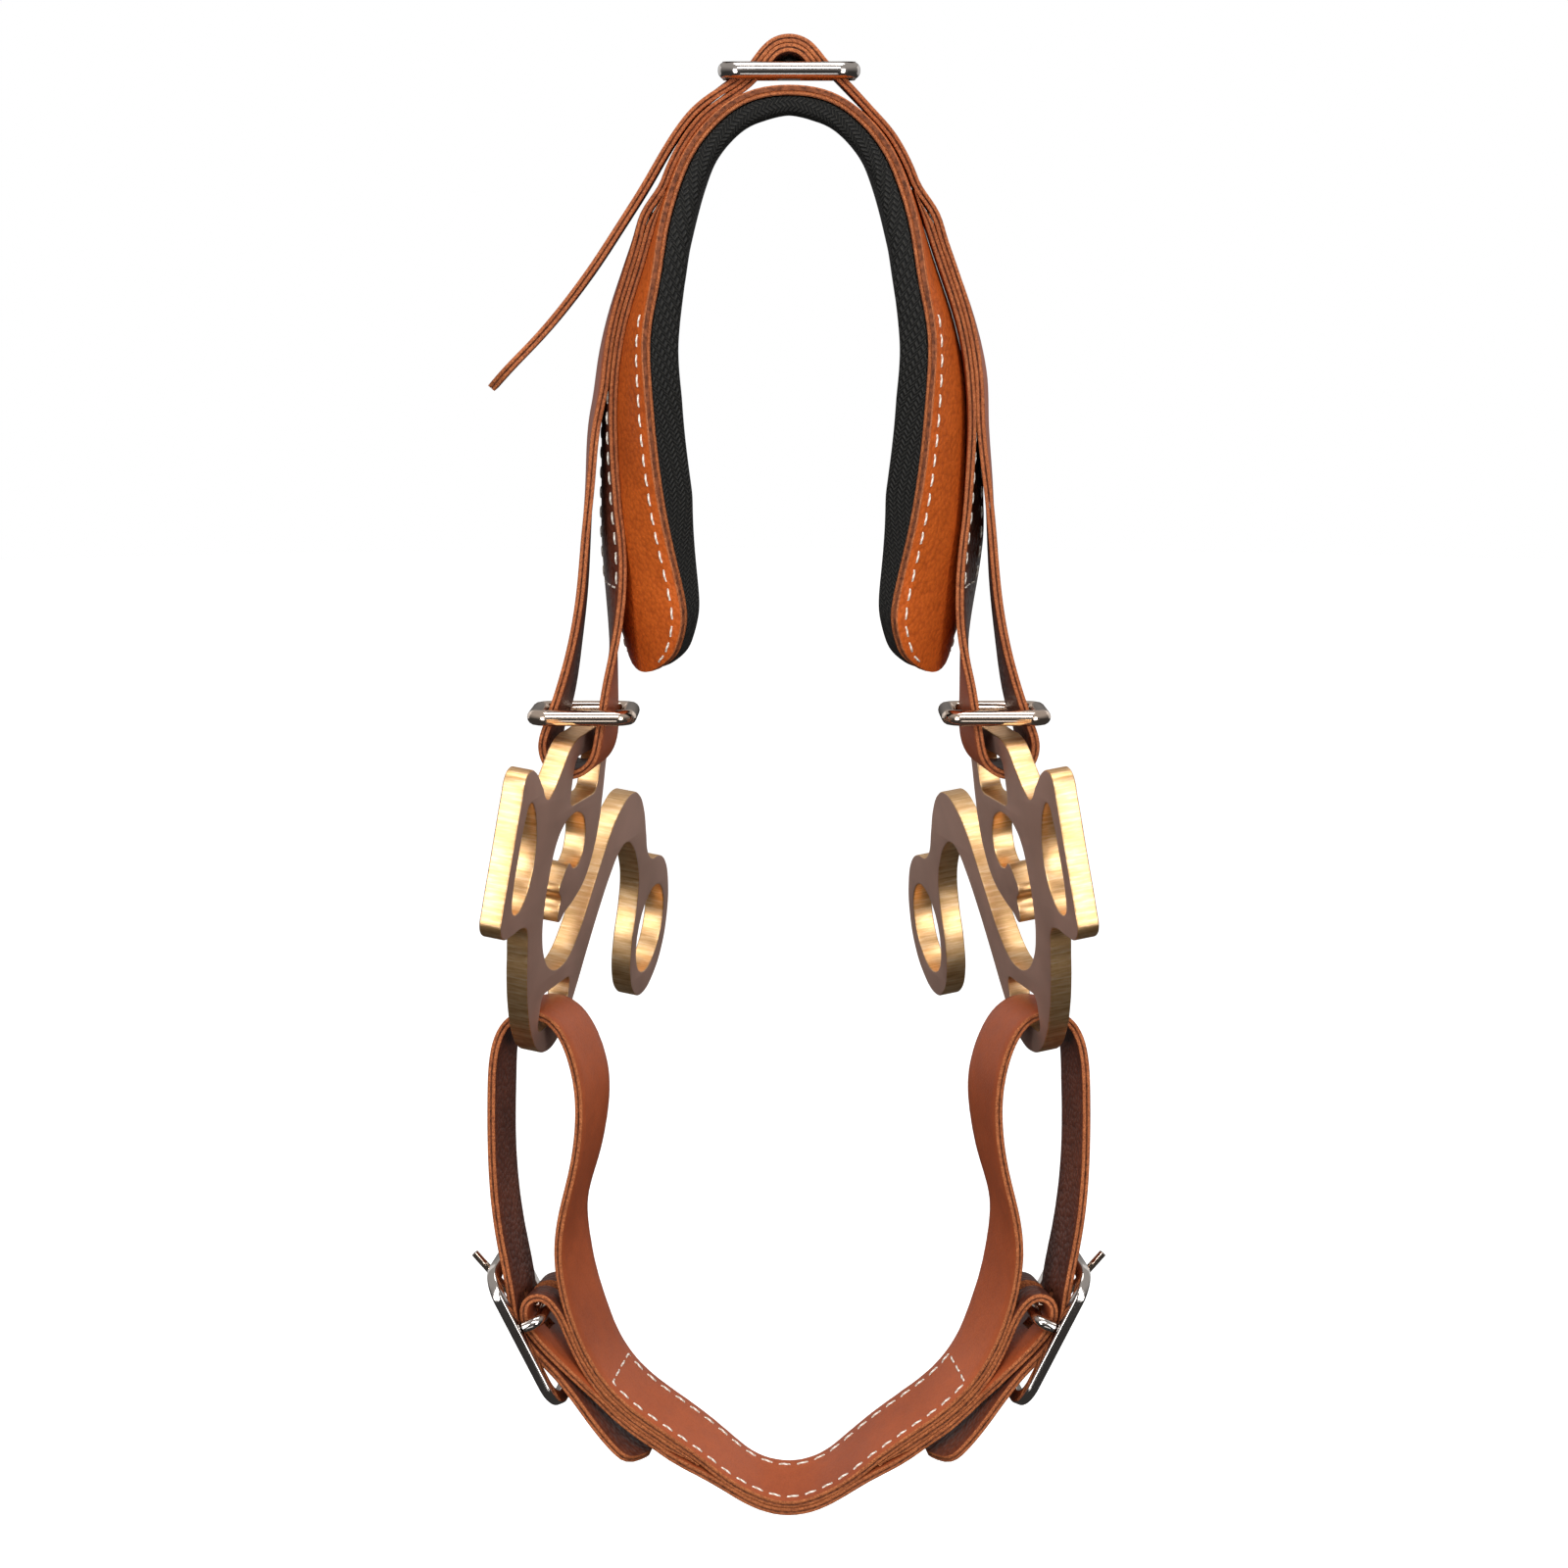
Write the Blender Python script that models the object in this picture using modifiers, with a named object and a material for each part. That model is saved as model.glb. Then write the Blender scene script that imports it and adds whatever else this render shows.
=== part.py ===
"""Bitless bridle noseband: padded leather noseband, two metal shank cheek plates, leather chin strap.

Frame: +X to the right, +Y towards the muzzle, +Z up. The noseband hangs on the nose, its top centre on X = 0.
Lengths below are millimetres and are multiplied by MM when a mesh or curve is made.
"""
import bpy
import bmesh
import math
import numpy as np
from mathutils import Matrix, Vector

MM = 0.001
ORIGIN_Z = 166.8            # height of the nose-side face of the pad, where the origin sits

# straps
STRAP_HALF_WIDTH = 10.0
PLY = 0.8                   # each strap is a face ply and a lining ply
PLY_SHIFT = 0.55            # middle of each ply from the middle of the strap
TAIL_LEAVES_X = 24.0        # the free tail lies on the other strap this far out
STRAP_PITCH = 2.2           # two straps lying on each other, middle to middle
BACKING_THICKNESS = 2.0
ON_BACKING = 2.6            # middle of a strap lying on the backing, from the backing's middle
ON_INNER_LEG = ON_BACKING + STRAP_PITCH
MAX_TURN = math.radians(26)  # most that a path turns between two stations
MAX_STEP = 15.0             # longest straight step between two stations
STRAP_COLUMNS = 2
BACKING_COLUMNS = 6

# padding under the backing
COVER = 0.8
FOAM_THICKNESS = 3.4
FOAM_DEPTH = 3.4            # middle of the foam, below the backing's middle
COVER_DEPTH = 6.2
PAD_INSET = 0.8             # the cover stops this far inside the backing's edge

# cheek plates, in the plate's own outline frame (u away from the viewer, v up)
PLATE_THICKNESS = 5.6
PLATE_YAW = math.radians(14.0)
PLATE_LEAN = math.radians(8.2)
PLATE_ORIGIN = Vector((-56.3, -19.5, 3.5))
EYE_BAR = (20.1, 7.9)       # the bar that hangs in the noseband strap
RING_CENTRE = (106.3, -60.5)
RING_HOLE_RADIUS = 12.6

# metal loops
TOP_SLIDE_Z = 178.4
KEEPER_Z = 18.3
KEEPER_TILT = math.radians(-3.5)
BUCKLE_BAR = (-62.7, -138.0)
BUCKLE_CENTRE = (-66.8, -143.7)
BUCKLE_SLOPE = math.atan2(33.7, 16.4)
BUCKLE_YAW = 0.2

LEATHER_FACE = ((0.60, 0.24, 0.07), 0.55, 0.0)
LEATHER_LINING = ((0.33, 0.12, 0.06), 0.6, 0.0)
WEBBING = ((0.02, 0.02, 0.02), 0.85, 0.0)
FOAM = ((0.06, 0.06, 0.06), 0.9, 0.0)
BRASS = ((0.72, 0.52, 0.25), 0.25, 1.0)
NICKEL = ((0.62, 0.60, 0.57), 0.15, 1.0)


# ---------------------------------------------------------------- scene and materials

def clear_scene():
    for obj in list(bpy.data.objects):
        bpy.data.objects.remove(obj, do_unlink=True)


def make_collection(name):
    collection = bpy.data.collections.new(name)
    bpy.context.scene.collection.children.link(collection)
    return collection


def make_material(name, look):
    colour, roughness, metallic = look
    material = bpy.data.materials.new(name)
    material.use_nodes = True
    shader = material.node_tree.nodes["Principled BSDF"]
    shader.inputs["Base Color"].default_value = (*colour, 1.0)
    shader.inputs["Roughness"].default_value = roughness
    shader.inputs["Metallic"].default_value = metallic
    material.diffuse_color = (*colour, 1.0)
    return material


def add_object(name, data, look):
    obj = bpy.data.objects.new(name, data)
    PARTS.objects.link(obj)
    data.materials.append(make_material(name + "_material", look))
    return obj


# ---------------------------------------------------------------- paths

def knot(x, z, lean_x=0.0, lean_z=0.0, half=STRAP_HALF_WIDTH, bow=0.0):
    """One station: middle of the strap, the x and z of its unit width direction, half width, bow."""
    return [x, 0.0, z, lean_x, lean_z, half, bow]


def mirrored(knots):
    return [[-row[0], row[1], row[2], -row[3], row[4], row[5], row[6]] for row in knots]


def spline_slopes(lengths, values):
    """Second derivatives of the natural cubic spline through values at the given lengths."""
    count = len(lengths)
    system = np.eye(count)
    right = np.zeros((count, values.shape[1]))
    for i in range(1, count - 1):
        before = lengths[i] - lengths[i - 1]
        after = lengths[i + 1] - lengths[i]
        system[i, i - 1:i + 2] = (before, 2.0 * (before + after), after)
        right[i] = 6.0 * ((values[i + 1] - values[i]) / after - (values[i] - values[i - 1]) / before)
    return np.linalg.solve(system, right)


def spline_point(lengths, values, bends, at):
    i = int(np.clip(np.searchsorted(lengths, at) - 1, 0, len(lengths) - 2))
    span = lengths[i + 1] - lengths[i]
    left = (lengths[i + 1] - at) / span
    right = (at - lengths[i]) / span
    curve = (left ** 3 - left) * bends[i] + (right ** 3 - right) * bends[i + 1]
    return left * values[i] + right * values[i + 1] + curve * span * span / 6.0


def stations(knots):
    """Smooth stations through the knots, with more of them where the path turns."""
    values = np.array(knots, dtype=float)
    steps = np.linalg.norm(np.diff(values[:, :3], axis=0), axis=1)
    lengths = np.concatenate(([0.0], np.cumsum(steps)))
    bends = spline_slopes(lengths, values)

    def point(at):
        return spline_point(lengths, values, bends, at)

    def heading(at):
        step = point(min(at + 0.05, lengths[-1])) - point(max(at - 0.05, 0.0))
        return math.atan2(step[2], step[0])

    rows = [point(0.0)]
    for start, end in zip(lengths[:-1], lengths[1:]):
        turn = abs((heading(end) - heading(start) + math.pi) % (2.0 * math.pi) - math.pi)
        parts = max(1, math.ceil(turn / MAX_TURN), math.ceil((end - start) / MAX_STEP))
        rows.extend(point(start + (end - start) * k / parts) for k in range(1, parts + 1))
    rows = np.array(rows)
    ahead = np.gradient(rows[:, :3], axis=0)
    return rows, ahead


def frame_at(row, ahead):
    """Middle, width direction and outward direction of one station."""
    across = Vector((row[3], math.sqrt(max(0.0, 1.0 - row[3] ** 2 - row[4] ** 2)), row[4]))
    outward = across.cross(Vector(ahead)).normalized()
    return Vector(row[:3]), across, outward


def section_point(row, ahead, w, depth):
    """Point at w across the station and depth above its middle surface."""
    middle, across, outward = frame_at(row, ahead)
    bow = row[6]
    if abs(bow) < 1e-5:
        return middle + across * w + outward * depth
    radius = 1.0 / bow
    angle = w * bow
    rise = (radius + depth) * math.cos(angle) - radius
    return middle + across * ((radius + depth) * math.sin(angle)) + outward * rise


def stack(rows, aheads, first, last, depth, turned=False):
    """Knots of a strap that lies on a path at the given depth, between two of its stations."""
    picked = range(first, last + 1) if first <= last else range(first, last - 1, -1)
    knots = []
    for i in picked:
        middle, across, outward = frame_at(rows[i], aheads[i])
        place = middle + outward * depth
        bow = rows[i][6] / (1.0 + rows[i][6] * depth)
        knots.append([*place, rows[i][3], rows[i][4], STRAP_HALF_WIDTH, -bow if turned else bow])
    return knots


# ---------------------------------------------------------------- sheets

def sheet(name, rows, aheads, profile, thickness, look):
    """A closed sheet: an open surface whose rows follow profile(row), with Solidify."""
    mesh = bpy.data.meshes.new(name)
    bm = bmesh.new()
    grid = []
    for row, ahead in zip(rows, aheads):
        points = [section_point(row, ahead, w, depth) for w, depth in profile(row)]
        grid.append([bm.verts.new((p - Vector((0, 0, ORIGIN_Z))) * MM) for p in points])
    for low, high in zip(grid[:-1], grid[1:]):
        for a, b, c, d in zip(low[:-1], low[1:], high[1:], high[:-1]):
            bm.faces.new((a, b, c, d))
    bm.to_mesh(mesh)
    bm.free()
    mesh.shade_smooth()
    mesh.set_sharp_from_angle(angle=math.radians(35))
    obj = add_object(name, mesh, look)
    solid = obj.modifiers.new("thickness", "SOLIDIFY")
    solid.thickness = thickness * MM
    solid.offset = 0.0
    solid.use_even_offset = True
    return obj


def flat_profile(shift, columns):
    def profile(row):
        return [(row[5] * (2.0 * k / columns - 1.0), shift) for k in range(columns + 1)]
    return profile


def strap(name, knots, face_sign=1.0):
    """Both plies of one strap. The face ply is on the outward side when face_sign is +1."""
    rows, aheads = stations(knots)
    face_profile = flat_profile(face_sign * PLY_SHIFT, STRAP_COLUMNS)
    lining_profile = flat_profile(-face_sign * PLY_SHIFT, STRAP_COLUMNS)
    face = sheet(name + "_face", rows, aheads, face_profile, PLY, LEATHER_FACE)
    lining = sheet(name + "_lining", rows, aheads, lining_profile, PLY, LEATHER_LINING)
    return face, lining


# ---------------------------------------------------------------- noseband

def noseband_base():
    """Middle surface of the leather backing, from the right wing tip over the top to the left one."""
    half = [
        knot(-9.8, 171.8, half=16.2),
        knot(-18.6, 166.2, half=16.8, bow=1 / 400),
        knot(-24.6, 158.6, half=17.4, bow=1 / 300),
        knot(-28.3, 150.6, half=18.2, bow=1 / 220),
        knot(-31.3, 142.0, -0.01, half=19.2, bow=1 / 170),
        knot(-35.3, 130.0, -0.04, half=21.0, bow=1 / 120),
        knot(-39.5, 117.5, -0.08, half=23.0, bow=1 / 92),
        knot(-42.4, 103.5, -0.17, half=25.0, bow=1 / 82),
        knot(-43.2, 90.5, -0.22, half=26.0, bow=1 / 84),
        knot(-43.1, 77.5, -0.28, half=26.4, bow=1 / 80),
        knot(-42.7, 65.0, -0.35, half=26.4, bow=1 / 70),
        knot(-41.3, 52.0, -0.42, half=26.0, bow=1 / 65),
    ]
    tip_rise = 17.5
    for angle in (75, 55, 36, 18):
        drop = tip_rise * math.cos(math.radians(angle))
        reach = math.sin(math.radians(angle))
        half.append(knot(-40.9 + 0.26 * drop, 47.0 - drop, -0.43, half=26.0 * reach, bow=1 / 65))
    top = [knot(0.0, 173.4, half=16.0)]
    return stations(list(reversed(mirrored(half))) + top + half)


def pad_profile(row):
    """U section of the woven cover: up both edges and across the nose side, corners cut."""
    edge = row[5] - PAD_INSET
    top = -(BACKING_THICKNESS / 2 + 0.35)
    corner = min(1.6, edge * 0.4)
    low = -COVER_DEPTH
    side = [(edge, top), (edge, low + corner), (edge - corner, low)]
    floor = [(share * (edge - corner), low) for share in (-0.5, 0.0, 0.5)]
    return [(-w, depth) for w, depth in side] + floor + list(reversed(side))


def foam_profile(row):
    edge = row[5] - PAD_INSET - 2.2
    return [(edge * share, -FOAM_DEPTH) for share in (-1.0, -0.5, 0.0, 0.5, 1.0)]


def make_noseband(rows, aheads):
    flat = flat_profile(0.0, BACKING_COLUMNS)
    sheet("noseband_backing", rows, aheads, flat, BACKING_THICKNESS, LEATHER_FACE)
    inner = slice(2, len(rows) - 2)
    sheet("noseband_foam", rows[inner], aheads[inner], foam_profile, FOAM_THICKNESS, FOAM)
    sheet("noseband_pad_cover", rows, aheads, pad_profile, COVER, WEBBING)


def lower_loop(inner_top):
    """Left side: outer leg down to the keeper, round the cheek plate's eye bar, up to the wing."""
    leg = [
        knot(-48.6, 92.5, -0.10),
        knot(-49.9, 78.5, -0.07),
        knot(-51.1, 64.0, -0.03),
        knot(-52.2, 50.0, 0.0),
        knot(-54.6, 34.2, 0.06),
        knot(-57.0, 23.5, 0.14),
        knot(-59.1, 16.8, 0.17),
        knot(-60.5, 12.0, 0.17),
        knot(-59.6, 7.4, 0.17),
        knot(-56.4, 4.4, 0.17),
        knot(-51.8, 4.3, 0.17),
        knot(-48.2, 7.2, 0.17),
        knot(-46.6, 12.0, 0.17),
        knot(-46.0, 18.0, 0.13),
        knot(-45.3, 27.0, 0.05),
        knot(-44.4, 36.0, -0.06),
    ]
    return leg + inner_top


def make_noseband_straps(rows, aheads):
    middle = len(rows) // 2
    last = len(rows) - 1
    wing = last - 5                  # station at the lower stitching on the left wing
    leg_top = middle + 5             # where the inner leg ends below the top slide
    rise = middle + 4

    inner_leg = stack(rows, aheads, wing, leg_top, ON_BACKING, turned=True)
    thin = stack(rows, aheads, middle + 2, rise, ON_BACKING)
    thick = stack(rows, aheads, leg_top, middle + 8, ON_INNER_LEG)
    arch = [knot(7.0, 178.6), knot(4.1, 181.7), knot(2.3, 183.3), knot(0.0, 183.9),
            knot(-2.3, 183.3), knot(-4.1, 181.7), knot(-7.0, 178.4)]
    left = [knot(9.4, 176.2)] + arch + thin + thick + lower_loop(inner_leg)
    strap("noseband_strap_left", left)
    left_rows, left_aheads = stations(left)
    leave = next(i for i, row in enumerate(left_rows) if row[0] < -TAIL_LEAVES_X)

    tail = [knot(74.0, 101.0, half=6.5), knot(70.8, 104.6), knot(63.2, 112.4), knot(54.9, 122.0),
            knot(47.8, 131.5), knot(41.4, 141.1), knot(35.4, 150.4)]
    over_left = mirrored(stack(left_rows, left_aheads, leave, 0, STRAP_PITCH))
    right = tail + over_left + thin + thick + lower_loop(inner_leg)
    strap("noseband_strap_right", mirrored(right), face_sign=-1.0)


# ---------------------------------------------------------------- outlines

def rounded_box(half_x, half_y, radius, steps=3, centre=(0.0, 0.0)):
    points = []
    for k, (sx, sy) in enumerate(((1, 1), (-1, 1), (-1, -1), (1, -1))):
        for step in range(steps + 1):
            angle = math.radians(90.0 * k + 90.0 * step / steps)
            points.append((centre[0] + sx * (half_x - radius) + radius * math.cos(angle),
                           centre[1] + sy * (half_y - radius) + radius * math.sin(angle)))
    return points


def circle(centre, radius, count):
    turns = [2.0 * math.pi * k / count for k in range(count)]
    return [(centre[0] + radius * math.cos(a), centre[1] + radius * math.sin(a)) for a in turns]


def outline_object(name, smooth_loops, poly_loops, thickness, look, rounding=0.0, resolution=3):
    """A flat piece: closed 2D outlines, the first the outer one, with half its thickness extruded."""
    curve = bpy.data.curves.new(name, "CURVE")
    curve.dimensions = "2D"
    curve.fill_mode = "BOTH"
    curve.resolution_u = resolution
    curve.bevel_depth = rounding * MM
    curve.bevel_resolution = 1
    curve.offset = -rounding * MM
    curve.extrude = (thickness / 2.0 - rounding) * MM
    for points in smooth_loops:
        spline = curve.splines.new("BEZIER")
        spline.use_cyclic_u = True
        spline.bezier_points.add(len(points) - 1)
        for bezier, (u, v) in zip(spline.bezier_points, points):
            bezier.co = (u * MM, v * MM, 0.0)
            bezier.handle_left_type = "AUTO"
            bezier.handle_right_type = "AUTO"
    for points in poly_loops:
        spline = curve.splines.new("POLY")
        spline.use_cyclic_u = True
        spline.points.add(len(points) - 1)
        for point, (u, v) in zip(spline.points, points):
            point.co = (u * MM, v * MM, 0.0, 1.0)
    return add_object(name, curve, look)


def axes_matrix(place, x_axis, y_axis):
    """World matrix with the given x and y axes, its origin at place in millimetres."""
    x_axis = x_axis.normalized()
    z_axis = x_axis.cross(y_axis).normalized()
    y_axis = z_axis.cross(x_axis)
    rotation = Matrix((x_axis, y_axis, z_axis)).transposed().to_4x4()
    spot = (place - Vector((0, 0, ORIGIN_Z))) * MM
    return Matrix.Translation(spot) @ rotation


# ---------------------------------------------------------------- cheek plates

def plate_outline():
    """Loop with a straight bar, eye, hook round the central hole, S shank and rein ring."""
    rein_loop = [(-32.6, 6.6), (-29.5, 8.3), (-25.0, 7.4), (-18.0, 2.8), (-11.5, -1.9), (-8.2, -1.0)]
    eye = [(-2.0, 4.0), (2.5, 8.2), (7.5, 10.2), (14.0, 10.6), (28.0, 10.6), (33.5, 9.4),
           (36.6, 5.5), (37.4, -2.0)]
    hook = [(38.2, -10.0), (38.2, -17.0), (36.2, -24.5), (31.5, -31.0), (24.0, -34.8), (16.5, -37.0),
            (12.0, -38.6), (10.8, -36.0), (11.5, -32.5), (8.9, -29.6), (11.0, -26.4), (15.0, -23.6)]
    hole = [(19.5, -25.6), (24.0, -25.0), (26.6, -20.5), (24.6, -14.5), (19.0, -11.0), (12.0, -10.3),
            (5.5, -12.0), (1.0, -16.0)]
    column = [(-1.4, -23.0), (-2.3, -31.0), (-0.8, -39.5), (4.0, -46.5), (11.0, -50.8), (19.0, -52.0),
              (26.5, -50.3), (33.5, -44.8)]
    shank = [(39.5, -37.5), (45.5, -29.5), (51.5, -22.6), (59.0, -17.0), (67.5, -14.4), (75.5, -16.2),
             (82.5, -21.5), (88.0, -29.0), (92.5, -35.3), (98.0, -38.4), (105.5, -39.0)]
    rein_ring = [(113.5, -42.2), (120.0, -49.5), (123.6, -59.5), (122.6, -69.5), (116.5, -76.8),
                 (107.5, -80.0), (98.5, -77.8), (91.5, -71.0), (88.6, -61.0), (88.6, -50.5)]
    neck = [(86.8, -42.5), (82.0, -36.0), (75.5, -30.8), (68.5, -28.4), (62.5, -29.8), (57.0, -34.3),
            (50.0, -42.5), (43.0, -52.5), (36.5, -62.5), (31.0, -69.4)]
    foot = [(24.0, -73.5), (16.0, -74.2), (8.0, -71.8), (1.0, -66.3), (-5.0, -58.5), (-9.5, -49.5),
            (-12.5, -41.0), (-15.5, -34.8), (-20.0, -33.4)]
    loop_foot = [(-28.0, -33.6), (-34.6, -33.0), (-37.8, -30.0), (-37.6, -26.0), (-35.6, -12.0), (-33.6, 2.0)]
    return rein_loop + eye + hook + hole + column + shank + rein_ring + neck + foot + loop_foot


def plate_holes():
    rein_loop_hole = [(-26.3, -0.5), (-22.0, -2.6), (-18.5, -7.8), (-16.7, -14.0), (-17.3, -20.5),
                      (-20.5, -25.8), (-25.5, -28.3), (-29.8, -27.0), (-31.2, -22.0), (-30.4, -13.0),
                      (-28.8, -4.5)]
    eye_slot = rounded_box(11.8, 6.4, 3.0, centre=(20.1, -1.2))
    chin_slot = rounded_box(12.2, 5.0, 2.6, centre=(17.7, -61.7))
    return rein_loop_hole, [eye_slot, chin_slot, circle(RING_CENTRE, RING_HOLE_RADIUS, 24)]


def make_cheek_plate(side, name):
    def shifted(points):
        return [(u - EYE_BAR[0], v - EYE_BAR[1]) for u, v in points]
    smooth_hole, poly_holes = plate_holes()
    plate = outline_object(name, [shifted(plate_outline()), shifted(smooth_hole)],
                           [shifted(points) for points in poly_holes], PLATE_THICKNESS, BRASS, resolution=2)
    along = Vector((math.sin(PLATE_YAW), math.cos(PLATE_YAW), 0.0))
    inboard = Vector((math.cos(PLATE_YAW), -math.sin(PLATE_YAW), 0.0))
    up = Vector((0, 0, 1)) * math.cos(PLATE_LEAN) + inboard * math.sin(PLATE_LEAN)
    normal = along.cross(up).normalized()
    place = PLATE_ORIGIN + along * EYE_BAR[0] + up * EYE_BAR[1] - normal * PLATE_THICKNESS / 2.0
    flip = Vector((side, 1.0, 1.0))
    plate.matrix_world = axes_matrix(place * flip, along * flip, up * flip)
    return plate


# ---------------------------------------------------------------- slides and keepers

def make_top_slide():
    """Slide with two slots; the bar between them carries the straps."""
    slots = [rounded_box(5.35, 10.8, 1.5, steps=2, centre=(sign * 9.05, 0.0)) for sign in (-1, 1)]
    slide = outline_object("top_slide", [], [rounded_box(17.4, 14.4, 3.6)] + slots, 4.0, NICKEL, rounding=1.1)
    slide.matrix_world = axes_matrix(Vector((0, 0, TOP_SLIDE_Z)), Vector((1, 0, 0)), Vector((0, 1, 0)))


def make_keeper(side, name):
    """Plain oval loop that holds the two legs of the strap together above the plate's eye."""
    curve = bpy.data.curves.new(name, "CURVE")
    curve.dimensions = "3D"
    curve.bevel_depth = 2.0 * MM
    curve.bevel_resolution = 2
    points = rounded_box(11.8, 13.1, 3.6, steps=3)
    spline = curve.splines.new("POLY")
    spline.use_cyclic_u = True
    spline.points.add(len(points) - 1)
    for point, (x, y) in zip(spline.points, points):
        point.co = (x * MM, y * MM, 0.0, 1.0)
    keeper = add_object(name, curve, NICKEL)
    across = Vector((0, math.cos(KEEPER_TILT), math.sin(KEEPER_TILT)))
    keeper.matrix_world = axes_matrix(Vector((side * 52.1, 0.0, KEEPER_Z)), Vector((1, 0, 0)), across)


# ---------------------------------------------------------------- chin strap

def chin_base():
    """Left half of the inner chin strap from the bottom centre, with the lean towards the jaw."""
    bottom = [
        knot(-8.5, -185.8, -0.0, 0.20),
        knot(-16.6, -180.4, 0.10, 0.20),
        knot(-21.5, -176.2, 0.12, 0.20),
        knot(-26.6, -172.2, 0.14, 0.20),
        knot(-32.0, -168.2, 0.15, 0.20),
        knot(-38.0, -163.6, 0.17, 0.20),
        knot(-44.0, -157.6, 0.22, 0.19),
        knot(-48.6, -150.6, 0.28, 0.17),
        knot(-52.0, -142.6, 0.34, 0.12),
        knot(-54.8, -133.2, 0.36, 0.06),
    ]
    leg = [
        knot(-56.5, -122.0, 0.33, 0.0),
        knot(-56.2, -112.0, 0.25, 0.0),
        knot(-53.4, -100.7, 0.26, 0.0),
        knot(-51.4, -90.0, 0.29, 0.0),
        knot(-51.0, -79.0, 0.32, 0.0),
        knot(-52.6, -70.6, 0.31, 0.0),
        knot(-55.0, -64.6, 0.29, 0.0),
        knot(-58.4, -60.2, 0.27, 0.0),
        knot(-62.6, -58.3, 0.26, 0.0),
        knot(-67.0, -58.7, 0.25, 0.0),
        knot(-70.8, -61.8, 0.23, 0.0),
        knot(-73.2, -67.4, 0.21, 0.0),
    ]
    billet = [
        knot(-74.2, -77.3, 0.21, 0.0),
        knot(-74.5, -92.0, 0.20, 0.0),
        knot(-73.8, -108.5, 0.20, 0.0),
        knot(-72.3, -120.0, 0.20, 0.0),
        knot(-70.7, -129.0, 0.20, 0.02),
        knot(-69.9, -135.0, 0.20, 0.03),
        knot(-69.3, -139.3, 0.19, 0.05),
        knot(-67.3, -143.8, 0.18, 0.07),
        knot(-63.9, -148.2, 0.16, 0.10),
        knot(-59.6, -153.0, 0.14, 0.11),
        knot(-54.6, -159.6, 0.13, 0.12),
        knot(-49.6, -167.0, 0.12, 0.12),
        knot(-44.5, -173.4, 0.12, 0.12),
        knot(-39.6, -177.4, 0.11, 0.12, half=8.6),
        knot(-36.4, -178.9, 0.10, 0.12, half=4.5),
    ]
    return bottom, leg, billet


def buckle_loop():
    """The outer strap's end: up to the buckle's bar, over it, and down to the inner strap."""
    return [
        knot(-52.6, -155.2, 0.17, 0.16),
        knot(-57.4, -150.6, 0.18, 0.13),
        knot(-62.4, -145.6, 0.19, 0.09),
        knot(-65.7, -141.4, 0.20, 0.05),
        knot(-66.9, -137.6, 0.20, 0.02),
        knot(-65.7, -134.5, 0.20, 0.0),
        knot(-62.4, -133.6, 0.20, 0.0),
        knot(-59.2, -135.6, 0.22, 0.02),
    ]


def make_chin_straps():
    bottom, leg, billet = chin_base()
    centre = [knot(0.0, -187.9, 0.0, 0.21)]
    left_half = bottom + leg + billet
    full = list(reversed(mirrored(left_half))) + centre + left_half
    inner_face, inner_lining = strap("chin_inner_strap", full)

    bottom_knots = list(reversed(mirrored(bottom))) + centre + bottom
    rows = np.array(bottom_knots)
    aheads = np.gradient(rows[:, :3], axis=0)
    middle = len(rows) // 2
    near = stack(rows, aheads, middle + 1, middle + 2, -STRAP_PITCH)
    far = stack(rows, aheads, middle + 4, middle + 7, -2.0 * STRAP_PITCH)
    folded = stack(rows, aheads, middle + 9, middle + 4, -STRAP_PITCH, turned=True)
    half = near + far + buckle_loop() + folded
    low = stack(rows, aheads, middle, middle, -STRAP_PITCH)
    outer = list(reversed(mirrored(half))) + low + half
    outer_face, outer_lining = strap("chin_outer_strap", outer, face_sign=-1.0)
    for side in (-1, 1):
        cut(inner_face, billet_hole(side))
        cut(inner_lining, billet_hole(side))
        cut(outer_face, crew_slot(side))
        cut(outer_lining, crew_slot(side))


def cut(obj, cutter):
    modifier = obj.modifiers.new("cut", "BOOLEAN")
    modifier.operation = "DIFFERENCE"
    modifier.object = cutter


def make_cutter(name, mesh_from):
    mesh = bpy.data.meshes.new(name)
    bm = bmesh.new()
    mesh_from(bm)
    bm.to_mesh(mesh)
    bm.free()
    cutter = bpy.data.objects.new(name, mesh)
    CUTTERS.objects.link(cutter)
    cutter.hide_render = True
    cutter.display_type = "WIRE"
    return cutter


def billet_hole(side):
    """Oval hole through the billet for the buckle tongue."""
    def shape(bm):
        turn = Matrix.Rotation(math.radians(90), 4, "Y")
        bmesh.ops.create_cone(bm, cap_ends=True, segments=12, radius1=2.2 * MM, radius2=2.2 * MM,
                              depth=5.0 * MM, matrix=turn)
        bmesh.ops.scale(bm, vec=(1.0, 1.0, 1.7), verts=bm.verts)
    cutter = make_cutter("billet_hole_cutter", shape)
    cutter.location = (side * 69.6 * MM, 0.0, (-137.9 - ORIGIN_Z) * MM)
    return cutter


def crew_slot(side):
    """Slot in the folded strap that lets the buckle tongue turn on its bar."""
    def shape(bm):
        bmesh.ops.create_cube(bm, size=1.0)
        bmesh.ops.scale(bm, vec=(11.2 * MM, 4.6 * MM, 12.0 * MM), verts=bm.verts)
    cutter = make_cutter("crew_slot_cutter", shape)
    cutter.location = (side * 62.6 * MM, 0.0, (-138.4 - ORIGIN_Z) * MM)
    return cutter


# ---------------------------------------------------------------- buckles

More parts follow.
